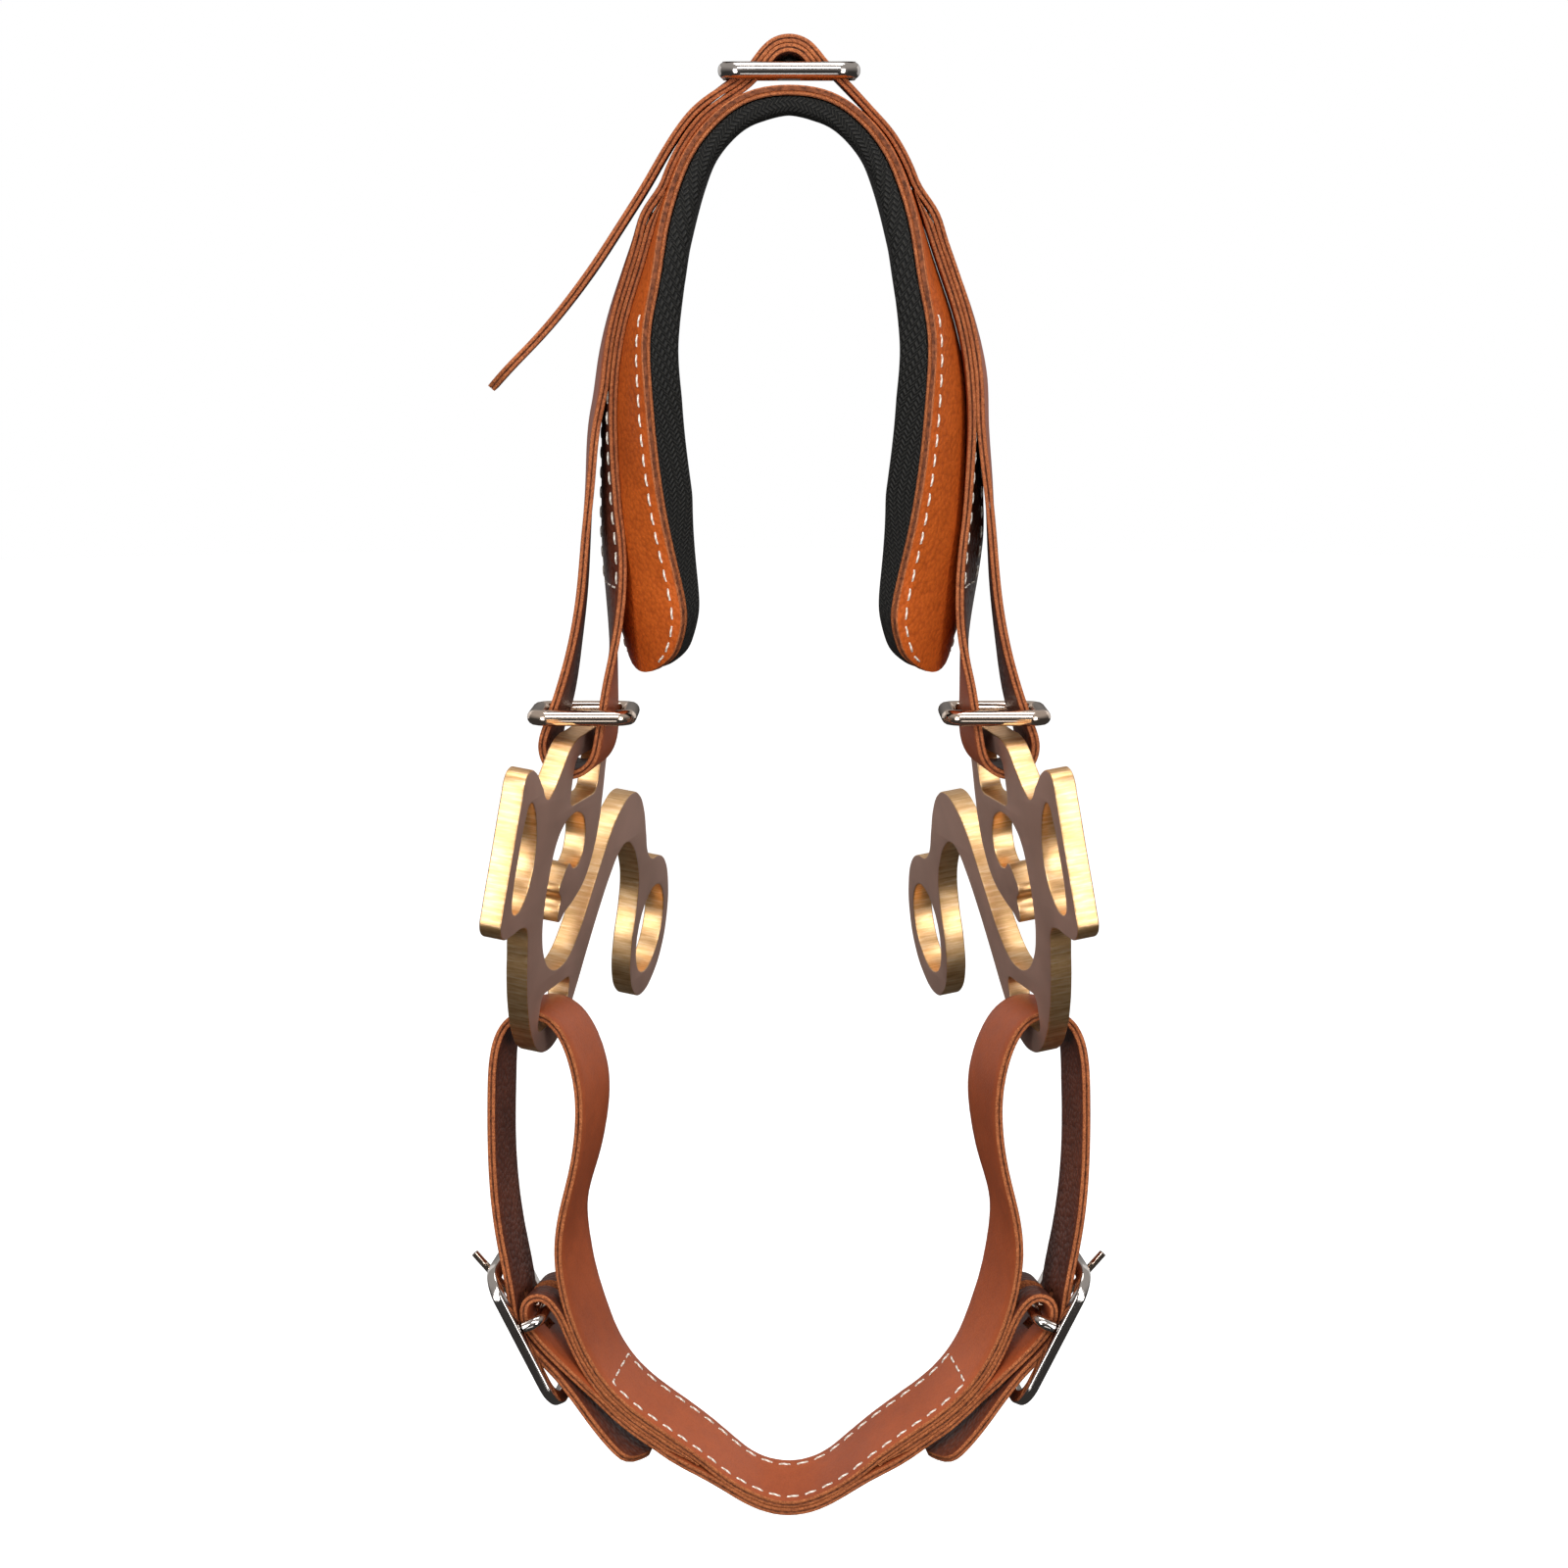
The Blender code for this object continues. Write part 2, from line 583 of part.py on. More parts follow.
def wire(name, points, radius, look):
    curve = bpy.data.curves.new(name, "CURVE")
    curve.dimensions = "3D"
    curve.bevel_depth = radius * MM
    curve.bevel_resolution = 2
    curve.use_fill_caps = True
    spline = curve.splines.new("POLY")
    spline.points.add(len(points) - 1)
    for point, place in zip(spline.points, points):
        point.co = (*(place * MM), 1.0)
    return add_object(name, curve, look)


def make_buckle(side, ending):
    """Frame with rounded ends, the bar raised on two lugs, and the tongue turning on the bar."""
    flip = Vector((side, 1.0, 1.0))
    along = Vector((math.cos(BUCKLE_SLOPE), 0.0, -math.sin(BUCKLE_SLOPE)))
    across = Vector((BUCKLE_YAW, math.sqrt(1.0 - BUCKLE_YAW ** 2), 0.0))
    across = (across - along * across.dot(along)).normalized()
    inward = Vector((-along.z, 0.0, along.x))
    inward = (inward - across * inward.dot(across)).normalized()
    centre = Vector((BUCKLE_CENTRE[0], 0.0, BUCKLE_CENTRE[1]))
    bar = Vector((BUCKLE_BAR[0], 0.0, BUCKLE_BAR[1]))

    loops = [rounded_box(20.6, 14.4, 8.0, steps=4), rounded_box(17.0, 11.0, 4.6, steps=3)]
    frame = outline_object("buckle_frame_" + ending, [], loops, 3.4, NICKEL, rounding=1.1)
    frame.matrix_world = axes_matrix(centre * flip, along * flip, across * flip)

    rise = (bar - centre).dot(inward)
    lug_start = 1.7 + 0.35
    drop = rise - lug_start
    lug = 12.4
    local = [across * (sign * w) - inward * depth
             for sign, w, depth in ((-1, lug, drop), (-1, lug, 1.2), (-1, lug - 1.2, 0.0),
                                    (1, lug - 1.2, 0.0), (1, lug, 1.2), (1, lug, drop))]
    pin = wire("buckle_bar_" + ending, [p * flip for p in local], 1.6, NICKEL)
    pin.location = (bar * flip - Vector((0, 0, ORIGIN_Z))) * MM

    eye_radius = 1.6 + 0.3 + 1.0
    turn = [Vector((math.cos(math.radians(a)), 0.0, math.sin(math.radians(a)))) * eye_radius
            for a in range(-60, 181, 30)]
    reach = [(-69.4, -138.7), (-71.6, -137.1), (-73.2, -134.9), (-77.6, -129.6), (-82.0, -124.4)]
    points = turn + [Vector((x, 0.0, z)) - bar for x, z in reach]
    tongue = wire("buckle_tongue_" + ending, [p * flip for p in points], 1.0, NICKEL)
    tongue.location = pin.location


def build():
    rows, aheads = noseband_base()
    make_noseband(rows, aheads)
    make_noseband_straps(rows, aheads)
    make_top_slide()
    for side, ending in ((1, "left"), (-1, "right")):
        make_cheek_plate(side, "cheek_plate_" + ending)
        make_keeper(-side, "keeper_" + ending)
        make_buckle(side, ending)
    make_chin_straps()


clear_scene()
PARTS = make_collection("bitless_noseband")
CUTTERS = make_collection("cutters")
build()
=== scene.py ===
"""Looks of a bitless bridle noseband: leather straps, woven pad, metal cheek plates and buckles.

Lengths are millimetres in the noseband's own heights, and become the frame's metres in place(): the frame's
origin is on the nose side of the pad, ORIGIN_Z above the heights' zero. The strap paths, plate outlines and
loops have the design's own shapes, followed here with finer steps.
"""
import bmesh
import bpy
import math
import numpy as np
from mathutils import Matrix, Vector, noise


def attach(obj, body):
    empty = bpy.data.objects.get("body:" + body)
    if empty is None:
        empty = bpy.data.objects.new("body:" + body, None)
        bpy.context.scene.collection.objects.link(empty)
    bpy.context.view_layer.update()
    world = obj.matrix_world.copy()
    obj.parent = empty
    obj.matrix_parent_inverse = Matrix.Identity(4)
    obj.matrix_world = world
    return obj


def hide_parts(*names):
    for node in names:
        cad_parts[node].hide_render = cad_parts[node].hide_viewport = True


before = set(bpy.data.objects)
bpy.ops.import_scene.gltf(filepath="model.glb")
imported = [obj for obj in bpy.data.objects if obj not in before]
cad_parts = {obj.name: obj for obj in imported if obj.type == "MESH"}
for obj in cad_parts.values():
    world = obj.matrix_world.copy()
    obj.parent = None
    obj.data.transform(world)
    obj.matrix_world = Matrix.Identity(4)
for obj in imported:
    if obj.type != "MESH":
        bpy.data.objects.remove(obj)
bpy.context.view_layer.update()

MM = 0.001
ORIGIN_Z = 166.8

# straps, as in the design
STRAP_HALF_WIDTH = 10.0
STRAP_HALF_THICKNESS = 1.05
STRAP_PITCH = 2.2
STRAP_COLUMNS = 6
EDGE_ROUND = 0.3
ROUGHNESS = 0.12             # how far a cut edge wanders
ON_BACKING = 2.6
ON_INNER_LEG = ON_BACKING + STRAP_PITCH
TAIL_LEAVES_X = 24.0
CAD_TURN = math.radians(26)
CAD_STEP = 15.0
FINE_TURN = math.radians(6)
FINE_STEP = 2.0
LAID_EVERY = 3
LEG_LAP = 4                  # fine stations that the sewn leg's thin end goes past where it is covered

# backing and pad
BACKING_TOP = 1.5
BACKING_BOTTOM = -1.0
BACKING_COLUMNS = 12
TIP_RISE = 17.5
TIP_HALF = 25.0
TIP_BOW = 1 / 46
TIP_ANGLES = (9, 3)          # stations that close the wings' round tips, past the design's last one
RIB_WIDTH = 1.35             # of the pad's herringbone
YARN_PITCH = 1.25
PAD_INSET = 0.4
PAD_TOP = 1.15
PAD_HEIGHTS = (25.0, 46.0, 75.0, 101.0, 119.0, 137.0, 160.0)
PAD_DEPTHS = (4.8, 7.4, 11.2, 10.4, 9.0, 6.8, 6.0)
PAD_HELD = 10                # corners of the pad's section that stay at the backing
PAD_SWELL = 1.3 * MM         # furthest that a point of the pad's skin may move when it fills out
PAD_PRESSURE = 4.0
PAD_FRAMES = 20
PAD_SPREAD = 9

# stitches; a stitch's profile is its share of the length, rise and swell
STITCH_PITCH = 4.8
STITCH_LENGTH = 3.3
STITCH_RADIUS = 0.27
STITCH_SIDES = 6
STITCH_PROFILE = ((-0.5, -0.3, 0.75), (-0.42, 0.02, 0.95), (-0.2, 0.12, 1.0), (0.0, 0.14, 1.05),
                  (0.2, 0.12, 1.0), (0.42, 0.02, 0.95), (0.5, -0.3, 0.75))
WING_INSET = 3.0
WING_STITCH_TOP = 122.0
LEG_STITCH_LOW = 50.0
LEG_STITCH_HIGH = 145.0
LEG_STITCH_W = 8.0
CHIN_STITCH_X = 45.5
CHIN_STITCH_W = 7.6

# cheek plates
PLATE_THICKNESS = 5.6
PLATE_YAW = math.radians(14.0)
PLATE_LEAN = math.radians(8.2)
PLATE_ORIGIN = Vector((-56.3, -19.5, 3.5))
EYE_BAR = (20.1, 7.9)
RING_CENTRE = (106.3, -60.5)
RING_HOLE_RADIUS = 12.6

# metal loops
TOP_SLIDE_Z = 178.4
KEEPER_Z = 18.3
KEEPER_TILT = math.radians(-3.5)
BUCKLE_BAR = (-62.7, -138.0)
BUCKLE_CENTRE = (-66.8, -143.7)
BUCKLE_SLOPE = math.atan2(33.7, 16.4)
BUCKLE_YAW = 0.2
FRAME_THICKNESS = 3.4
FRAME_SLIMMER = 0.5          # the visual frame's gap to the straps when it tilts
BAR_RADIUS = 1.6
TONGUE_RADIUS = 1.0

# studio, in metres
CAMERA_PLACE = (-0.00125, -0.900, -0.0068)
CAMERA_PITCH = math.radians(10.08)
CAMERA_LENS = 82.26
FLOOR_Z = -0.55
MIDDLE = (0.0, 0.0, -0.17)


# ---------------------------------------------------------------- paths

def knot(x, z, lean_x=0.0, lean_z=0.0, half=STRAP_HALF_WIDTH, bow=0.0):
    """One station: middle of the strap, the x and z of its unit width direction, half width, bow."""
    return [x, 0.0, z, lean_x, lean_z, half, bow]


def path(*rows):
    """Knots from rows of knot()'s values."""
    return [knot(*row) for row in rows]


def mirrored(knots):
    return [[-row[0], row[1], row[2], -row[3], row[4], row[5], row[6]] for row in knots]


def run_of(points):
    """Distance travelled at each point of a path."""
    steps = np.linalg.norm(np.diff(np.asarray(points)[:, :3], axis=0), axis=1)
    return np.concatenate(([0.0], np.cumsum(steps)))


def spline_slopes(lengths, values):
    """Second derivatives of the natural cubic spline through values at the given lengths."""
    count = len(lengths)
    system = np.eye(count)
    right = np.zeros((count, values.shape[1]))
    for i in range(1, count - 1):
        before = lengths[i] - lengths[i - 1]
        after = lengths[i + 1] - lengths[i]
        system[i, i - 1:i + 2] = (before, 2.0 * (before + after), after)
        right[i] = 6.0 * ((values[i + 1] - values[i]) / after - (values[i] - values[i - 1]) / before)
    return np.linalg.solve(system, right)


def spline_point(lengths, values, bends, at):
    i = int(np.clip(np.searchsorted(lengths, at) - 1, 0, len(lengths) - 2))
    span = lengths[i + 1] - lengths[i]
    left = (lengths[i + 1] - at) / span
    right = (at - lengths[i]) / span
    curve = (left ** 3 - left) * bends[i] + (right ** 3 - right) * bends[i + 1]
    return left * values[i] + right * values[i + 1] + curve * span * span / 6.0


def stations(knots, most_turn=CAD_TURN, longest=CAD_STEP):
    """Smooth stations through the knots, with more of them where the path turns."""
    values = np.array(knots, dtype=float)
    lengths = run_of(values)
    bends = spline_slopes(lengths, values)

    def point(at):
        return spline_point(lengths, values, bends, at)

    def heading(at):
        step = point(min(at + 0.05, lengths[-1])) - point(max(at - 0.05, 0.0))
        return math.atan2(step[2], step[0])

    rows = [point(0.0)]
    for start, end in zip(lengths[:-1], lengths[1:]):
        turn = abs((heading(end) - heading(start) + math.pi) % (2.0 * math.pi) - math.pi)
        parts = max(1, math.ceil(turn / most_turn), math.ceil((end - start) / longest))
        rows.extend(point(start + (end - start) * k / parts) for k in range(1, parts + 1))
    rows = np.array(rows)
    ahead = np.gradient(rows[:, :3], axis=0)
    return rows, ahead


def frame_at(row, ahead):
    """Middle, width direction and outward direction of one station."""
    across = Vector((row[3], math.sqrt(max(0.0, 1.0 - row[3] ** 2 - row[4] ** 2)), row[4]))
    outward = across.cross(Vector(ahead)).normalized()
    return Vector(row[:3]), across, outward


def section_point(row, ahead, w, depth):
    """Point at w across the station and depth above its middle surface."""
    middle, across, outward = frame_at(row, ahead)
    bow = row[6]
    if abs(bow) < 1e-5:
        return middle + across * w + outward * depth
    radius = 1.0 / bow
    angle = w * bow
    rise = (radius + depth) * math.cos(angle) - radius
    return middle + across * ((radius + depth) * math.sin(angle)) + outward * rise


def stack(rows, aheads, first, last, depth, turned=False):
    """Knots of a strap that lies on a path at the given depth, between two of its stations."""
    picked = range(first, last + 1) if first <= last else range(first, last - 1, -1)
    knots = []
    for i in picked:
        middle, across, outward = frame_at(rows[i], aheads[i])
        place = middle + outward * depth
        bow = rows[i][6] / (1.0 + rows[i][6] * depth)
        knots.append([*place, rows[i][3], rows[i][4], STRAP_HALF_WIDTH, -bow if turned else bow])
    return knots


def tip_knot(angle):
    """Station of a wing's round tip; 90 degrees is where the tip starts and 0 is its end."""
    drop = TIP_RISE * math.cos(math.radians(angle))
    reach = math.sin(math.radians(angle))
    return knot(-40.9 + 0.26 * drop, 47.0 - drop, -0.36, half=TIP_HALF * reach, bow=TIP_BOW)


def noseband_base():
    """Middle surface of the leather backing, from the right wing tip over the top to the left one."""
    # x, z, lean, half width and the radius of the bow
    rows = ((-9.8, 171.8, 0.0, 16.2, math.inf), (-18.6, 166.2, 0.0, 16.8, 400),
            (-24.6, 158.6, 0.0, 17.4, 300), (-28.3, 150.6, 0.0, 18.2, 220),
            (-31.3, 142.0, -0.01, 19.2, 170), (-35.3, 130.0, -0.03, 21.0, 80),
            (-39.5, 117.5, -0.05, 23.0, 62), (-42.4, 103.5, -0.10, 25.0, 52),
            (-43.2, 90.5, -0.13, 26.0, 48), (-43.1, 77.5, -0.18, 26.4, 48),
            (-42.7, 65.0, -0.25, 26.2, 46), (-41.3, 52.0, -0.34, 25.4, 46))
    half = [knot(x, z, lean, half=wide, bow=1 / radius) for x, z, lean, wide, radius in rows]
    half += [tip_knot(angle) for angle in (75, 55, 36, 18)]
    top = [knot(0.0, 173.4, half=16.0)]
    return list(reversed(mirrored(half))) + top + half


def lower_loop(inner_top):
    """Left side: outer leg down to the keeper, round the cheek plate's eye bar, up to the wing."""
    leg = path((-48.6, 92.5, -0.10), (-49.9, 78.5, -0.07), (-51.1, 64.0, -0.03), (-52.2, 50.0),
               (-54.6, 34.2, 0.06), (-57.0, 23.5, 0.14), (-59.1, 16.8, 0.17), (-60.5, 12.0, 0.17),
               (-59.6, 7.4, 0.17), (-56.4, 4.4, 0.17), (-51.8, 4.3, 0.17), (-48.2, 7.2, 0.17),
               (-46.6, 12.0, 0.17), (-46.0, 18.0, 0.13), (-45.3, 27.0, 0.05), (-44.4, 36.0, -0.06))
    return leg + inner_top


def chin_base():
    """Left half of the inner chin strap from the bottom centre, with the lean towards the jaw."""
    bottom = path((-8.5, -185.8, 0.0, 0.20), (-16.6, -180.4, 0.10, 0.20), (-21.5, -176.2, 0.12, 0.20),
                  (-26.6, -172.2, 0.14, 0.20), (-32.0, -168.2, 0.15, 0.20), (-38.0, -163.6, 0.17, 0.20),
                  (-44.0, -157.6, 0.22, 0.19), (-48.6, -150.6, 0.28, 0.17), (-52.0, -142.6, 0.34, 0.12),
                  (-54.8, -133.2, 0.36, 0.06))
    leg = path((-56.5, -122.0, 0.33), (-56.2, -112.0, 0.25), (-53.4, -100.7, 0.26), (-51.4, -90.0, 0.29),
               (-51.0, -79.0, 0.32), (-52.6, -70.6, 0.31), (-55.0, -64.6, 0.29), (-58.4, -60.2, 0.27),
               (-62.6, -58.3, 0.26), (-67.0, -58.7, 0.25), (-70.8, -61.8, 0.23), (-73.2, -67.4, 0.21))
    billet = path((-74.2, -77.3, 0.21), (-74.5, -92.0, 0.20), (-73.8, -108.5, 0.20), (-72.3, -120.0, 0.20),
                  (-70.7, -129.0, 0.20, 0.02), (-69.9, -135.0, 0.20, 0.03), (-69.3, -139.3, 0.19, 0.05),
                  (-67.3, -143.8, 0.18, 0.07), (-63.9, -148.2, 0.16, 0.10), (-59.6, -153.0, 0.14, 0.11),
                  (-54.6, -159.6, 0.13, 0.12), (-49.6, -167.0, 0.12, 0.12), (-44.5, -173.4, 0.12, 0.12),
                  (-39.6, -177.4, 0.11, 0.12, 8.6), (-36.4, -178.9, 0.10, 0.12, 4.5))
    return bottom, leg, billet


def buckle_loop():
    """The outer strap's end: up to the buckle's bar, over it, and down to the inner strap."""
    return path((-52.6, -155.2, 0.17, 0.16), (-57.4, -150.6, 0.18, 0.13), (-62.4, -145.6, 0.19, 0.09),
                (-65.7, -141.4, 0.20, 0.05), (-66.9, -137.6, 0.20, 0.02), (-65.7, -134.5, 0.20),
                (-62.4, -133.6, 0.20), (-59.2, -135.6, 0.22, 0.02))


def rounded_box(half_x, half_y, radius, steps=3, centre=(0.0, 0.0)):
    points = []
    for k, (sx, sy) in enumerate(((1, 1), (-1, 1), (-1, -1), (1, -1))):
        for step in range(steps + 1):
            angle = math.radians(90.0 * k + 90.0 * step / steps)
            points.append((centre[0] + sx * (half_x - radius) + radius * math.cos(angle),
                           centre[1] + sy * (half_y - radius) + radius * math.sin(angle)))
    return points


def circle(centre, radius, count):
    turns = [2.0 * math.pi * k / count for k in range(count)]
    return [(centre[0] + radius * math.cos(a), centre[1] + radius * math.sin(a)) for a in turns]


def axes_matrix(place, x_axis, y_axis):
    """World matrix with the given x and y axes, its origin at place in millimetres."""
    x_axis = x_axis.normalized()
    z_axis = x_axis.cross(y_axis).normalized()
    y_axis = z_axis.cross(x_axis)
    rotation = Matrix((x_axis, y_axis, z_axis)).transposed().to_4x4()
    spot = (place - Vector((0, 0, ORIGIN_Z))) * MM
    return Matrix.Translation(spot) @ rotation


def plate_outline():
    """Loop with a straight bar, eye, hook round the central hole, S shank and rein ring."""
    rein_loop = [(-32.6, 6.6), (-29.5, 8.3), (-25.0, 7.4), (-18.0, 2.8), (-11.5, -1.9), (-8.2, -1.0)]
    eye = [(-2.0, 4.0), (2.5, 8.2), (7.5, 10.2), (14.0, 10.6), (28.0, 10.6), (33.5, 9.4),
           (36.6, 5.5), (37.4, -2.0)]
    hook = [(38.2, -10.0), (38.2, -17.0), (36.2, -24.5), (31.5, -31.0), (24.0, -34.8), (16.5, -37.0),
            (12.0, -38.6), (10.8, -36.0), (11.5, -32.5), (8.9, -29.6), (11.0, -26.4), (15.0, -23.6)]
    hole = [(19.5, -25.6), (24.0, -25.0), (26.6, -20.5), (24.6, -14.5), (19.0, -11.0), (12.0, -10.3),
            (5.5, -12.0), (1.0, -16.0)]
    column = [(-1.4, -23.0), (-2.3, -31.0), (-0.8, -39.5), (4.0, -46.5), (11.0, -50.8), (19.0, -52.0),
              (26.5, -50.3), (33.5, -44.8)]
    shank = [(39.5, -37.5), (45.5, -29.5), (51.5, -22.6), (59.0, -17.0), (67.5, -14.4), (75.5, -16.2),
             (82.5, -21.5), (88.0, -29.0), (92.5, -35.3), (98.0, -38.4), (105.5, -39.0)]
    rein_ring = [(113.5, -42.2), (120.0, -49.5), (123.6, -59.5), (122.6, -69.5), (116.5, -76.8),
                 (107.5, -80.0), (98.5, -77.8), (91.5, -71.0), (88.6, -61.0), (88.6, -50.5)]
    neck = [(86.8, -42.5), (82.0, -36.0), (75.5, -30.8), (68.5, -28.4), (62.5, -29.8), (57.0, -34.3),
            (50.0, -42.5), (43.0, -52.5), (36.5, -62.5), (31.0, -69.4)]
    foot = [(24.0, -73.5), (16.0, -74.2), (8.0, -71.8), (1.0, -66.3), (-5.0, -58.5), (-9.5, -49.5),
            (-12.5, -41.0), (-15.5, -34.8), (-20.0, -33.4)]
    loop_foot = [(-28.0, -33.6), (-34.6, -33.0), (-37.8, -30.0), (-37.6, -26.0), (-35.6, -12.0),
                 (-33.6, 2.0)]
    return rein_loop + eye + hook + hole + column + shank + rein_ring + neck + foot + loop_foot


def plate_holes():
    rein_loop_hole = [(-26.3, -0.5), (-22.0, -2.6), (-18.5, -7.8), (-16.7, -14.0), (-17.3, -20.5),
                      (-20.5, -25.8), (-25.5, -28.3), (-29.8, -27.0), (-31.2, -22.0), (-30.4, -13.0),
                      (-28.8, -4.5)]
    eye_slot = rounded_box(11.8, 6.4, 3.0, centre=(20.1, -1.2))
    chin_slot = rounded_box(12.2, 5.0, 2.6, centre=(17.7, -61.7))
    return rein_loop_hole, [eye_slot, chin_slot, circle(RING_CENTRE, RING_HOLE_RADIUS, 24)]


# ---------------------------------------------------------------- materials

class Nodes:
    """Short ways to add and link shader nodes in one material."""

    def __init__(self, name):
        self.material = bpy.data.materials.new(name)
        self.material.use_nodes = True
        self.tree = self.material.node_tree
        self.shader = self.tree.nodes["Principled BSDF"]
        self.object_space = self.add("ShaderNodeTexCoord").outputs["Object"]

    def add(self, kind, **settings):
        node = self.tree.nodes.new(kind)
        for key, value in settings.items():
            setattr(node, key, value)
        return node

    def link(self, source, target):
        self.tree.links.new(source, target)

    def stretched(self, scale, source=None):
        mapping = self.add("ShaderNodeMapping")
        mapping.inputs["Scale"].default_value = scale
        self.link(source or self.object_space, mapping.inputs["Vector"])
        return mapping.outputs["Vector"]

    def noise(self, scale, detail=3.0, roughness=0.55, source=None):
        node = self.add("ShaderNodeTexNoise")
        node.inputs["Scale"].default_value = scale
        node.inputs["Detail"].default_value = detail
        node.inputs["Roughness"].default_value = roughness
        self.link(source or self.object_space, node.inputs["Vector"])
        return node.outputs["Fac"]

    def cells(self, scale, source=None):
        node = self.add("ShaderNodeTexVoronoi")
        node.inputs["Scale"].default_value = scale
        node.inputs["Randomness"].default_value = 0.9
        self.link(source or self.object_space, node.inputs["Vector"])
        return node.outputs["Distance"]

    def feed(self, socket, value):
        """Link a source to the socket, or set its number or its colour."""
        if isinstance(value, bpy.types.NodeSocket):
            self.link(value, socket)
        else:
            socket.default_value = (*value, 1.0) if isinstance(value, tuple) else value

    def math(self, operation, a, b=0.0, c=0.0):
        node = self.add("ShaderNodeMath", operation=operation)
        for socket, value in zip(node.inputs, (a, b, c)):
            self.feed(socket, value)
        return node.outputs[0]

    def wave(self, source, length, size=0.5):
        """A sine wave from 0 to twice the size, with crests a length apart."""
        sine = self.math("SINE", self.math("MULTIPLY", source, 2.0 * math.pi / length))
        return self.math("MULTIPLY_ADD", sine, size, size)

    def parts(self, source):
        node = self.add("ShaderNodeSeparateXYZ")
        self.link(source, node.inputs[0])
        return node.outputs

    def ramp(self, factor, stops):
        node = self.add("ShaderNodeValToRGB")
        elements = node.color_ramp.elements
        while len(elements) < len(stops):
            elements.new(0.5)
        for element, (position, colour) in zip(elements, stops):
            element.position = position
            element.color = (*colour, 1.0)
        self.link(factor, node.inputs["Fac"])
        return node.outputs["Color"]

    def mix(self, factor, a, b, blend="MIX"):
        node = self.add("ShaderNodeMix", data_type="RGBA", blend_type=blend)
        for socket, value in ((node.inputs[0], factor), (node.inputs[6], a), (node.inputs[7], b)):
            self.feed(socket, value)
        return node.outputs[2]

    def bump(self, height, strength, distance, before=None):
        node = self.add("ShaderNodeBump")
        node.inputs["Strength"].default_value = strength
        node.inputs["Distance"].default_value = distance * MM
        self.link(height, node.inputs["Height"])
        if before is not None:
            self.link(before, node.inputs["Normal"])
        return node.outputs["Normal"]

    def finish(self, colour, roughness, normal=None, **values):
        sockets = self.shader.inputs
        self.link(colour, sockets["Base Color"])
        self.feed(sockets["Roughness"], roughness)
        if normal is not None:
            self.link(normal, sockets["Normal"])
        for key, value in values.items():
            sockets[key.replace("_", " ")].default_value = value
        return self.material

    def spread(self, source, low, high, start=0.0, end=1.0):
        """The source's range from start to end moved to low to high."""
        node = self.add("ShaderNodeMapRange")
        for socket, value in zip(node.inputs, (source, start, end, low, high)):
            self.feed(socket, value)
        return node.outputs["Result"]


def leather(name, dark, base, light, grain_size, grain_depth, crevice_shade_share, roughness):
    """Tanned leather: pebbles of grain_size with painted shade between them, fine pores, slow colour drift,
    and creases painted darker in their hollows and lighter on their high spots.
    """
    n = Nodes(name)
    drift = n.noise(28.0, 4.0)
    colour = n.ramp(drift, ((0.3, dark), (0.52, base), (0.75, light)))
    pebbles = n.cells(1000.0 / grain_size)
    pores = n.noise(2600.0, 2.0)
    creases = n.noise(240.0, 4.0, 0.62)
    # painted shade: each pebble darkens towards the crevices round it, mixed in at the given share
    shade = n.ramp(pebbles, ((0.0, (1.0, 1.0, 1.0)), (0.5, (0.88, 0.84, 0.82)), (0.8, (0.6, 0.5, 0.46))))
    colour = n.mix(crevice_shade_share, colour, shade, "MULTIPLY")
    # painted shade and light: darker in the hollows of the creases and lighter on their high spots, where the
    # crease bump rises
    crease_relief_shade = n.ramp(creases, ((0.35, (0.8, 0.76, 0.74)), (0.65, (1.1, 1.08, 1.05))))
    colour = n.mix(0.35, colour, crease_relief_shade, "MULTIPLY")
    normal = n.bump(pores, 0.35, 0.05)
    normal = n.bump(n.math("SUBTRACT", 1.0, pebbles), 0.55, grain_depth, normal)
    normal = n.bump(creases, 0.3, 0.25, normal)
    rough = n.spread(creases, roughness - 0.07, roughness + 0.1)
    return n.finish(colour, rough, normal, Specular_IOR_Level=0.28)


def cut_edge():
    """The cut and dyed edge of a ply: short fibres, lighter than the faces."""
    n = Nodes("leather_cut_edge")
    fibres = n.noise(2100.0, 4.0, 0.7)
    patches = n.noise(260.0, 3.0)
    colour = n.ramp(fibres, ((0.32, (0.15, 0.037, 0.012)), (0.5, (0.35, 0.103, 0.031)),
                             (0.7, (0.56, 0.195, 0.068))))
    tint = n.ramp(patches, ((0.35, (0.78, 0.7, 0.66)), (0.65, (1.08, 1.05, 1.02))))
    colour = n.mix(0.6, colour, tint, "MULTIPLY")
    normal = n.bump(fibres, 0.8, 0.16)
    normal = n.bump(patches, 0.4, 0.2, normal)
    return n.finish(colour, 0.72, normal, Specular_IOR_Level=0.3)


def ply_core():
    """The dark glue line between two plies."""
    n = Nodes("leather_core_line")
    colour = n.ramp(n.noise(900.0), ((0.35, (0.08, 0.024, 0.011)), (0.65, (0.24, 0.072, 0.029))))
    return n.finish(colour, 0.85, n.bump(n.noise(1600.0), 0.5, 0.1), Specular_IOR_Level=0.2)


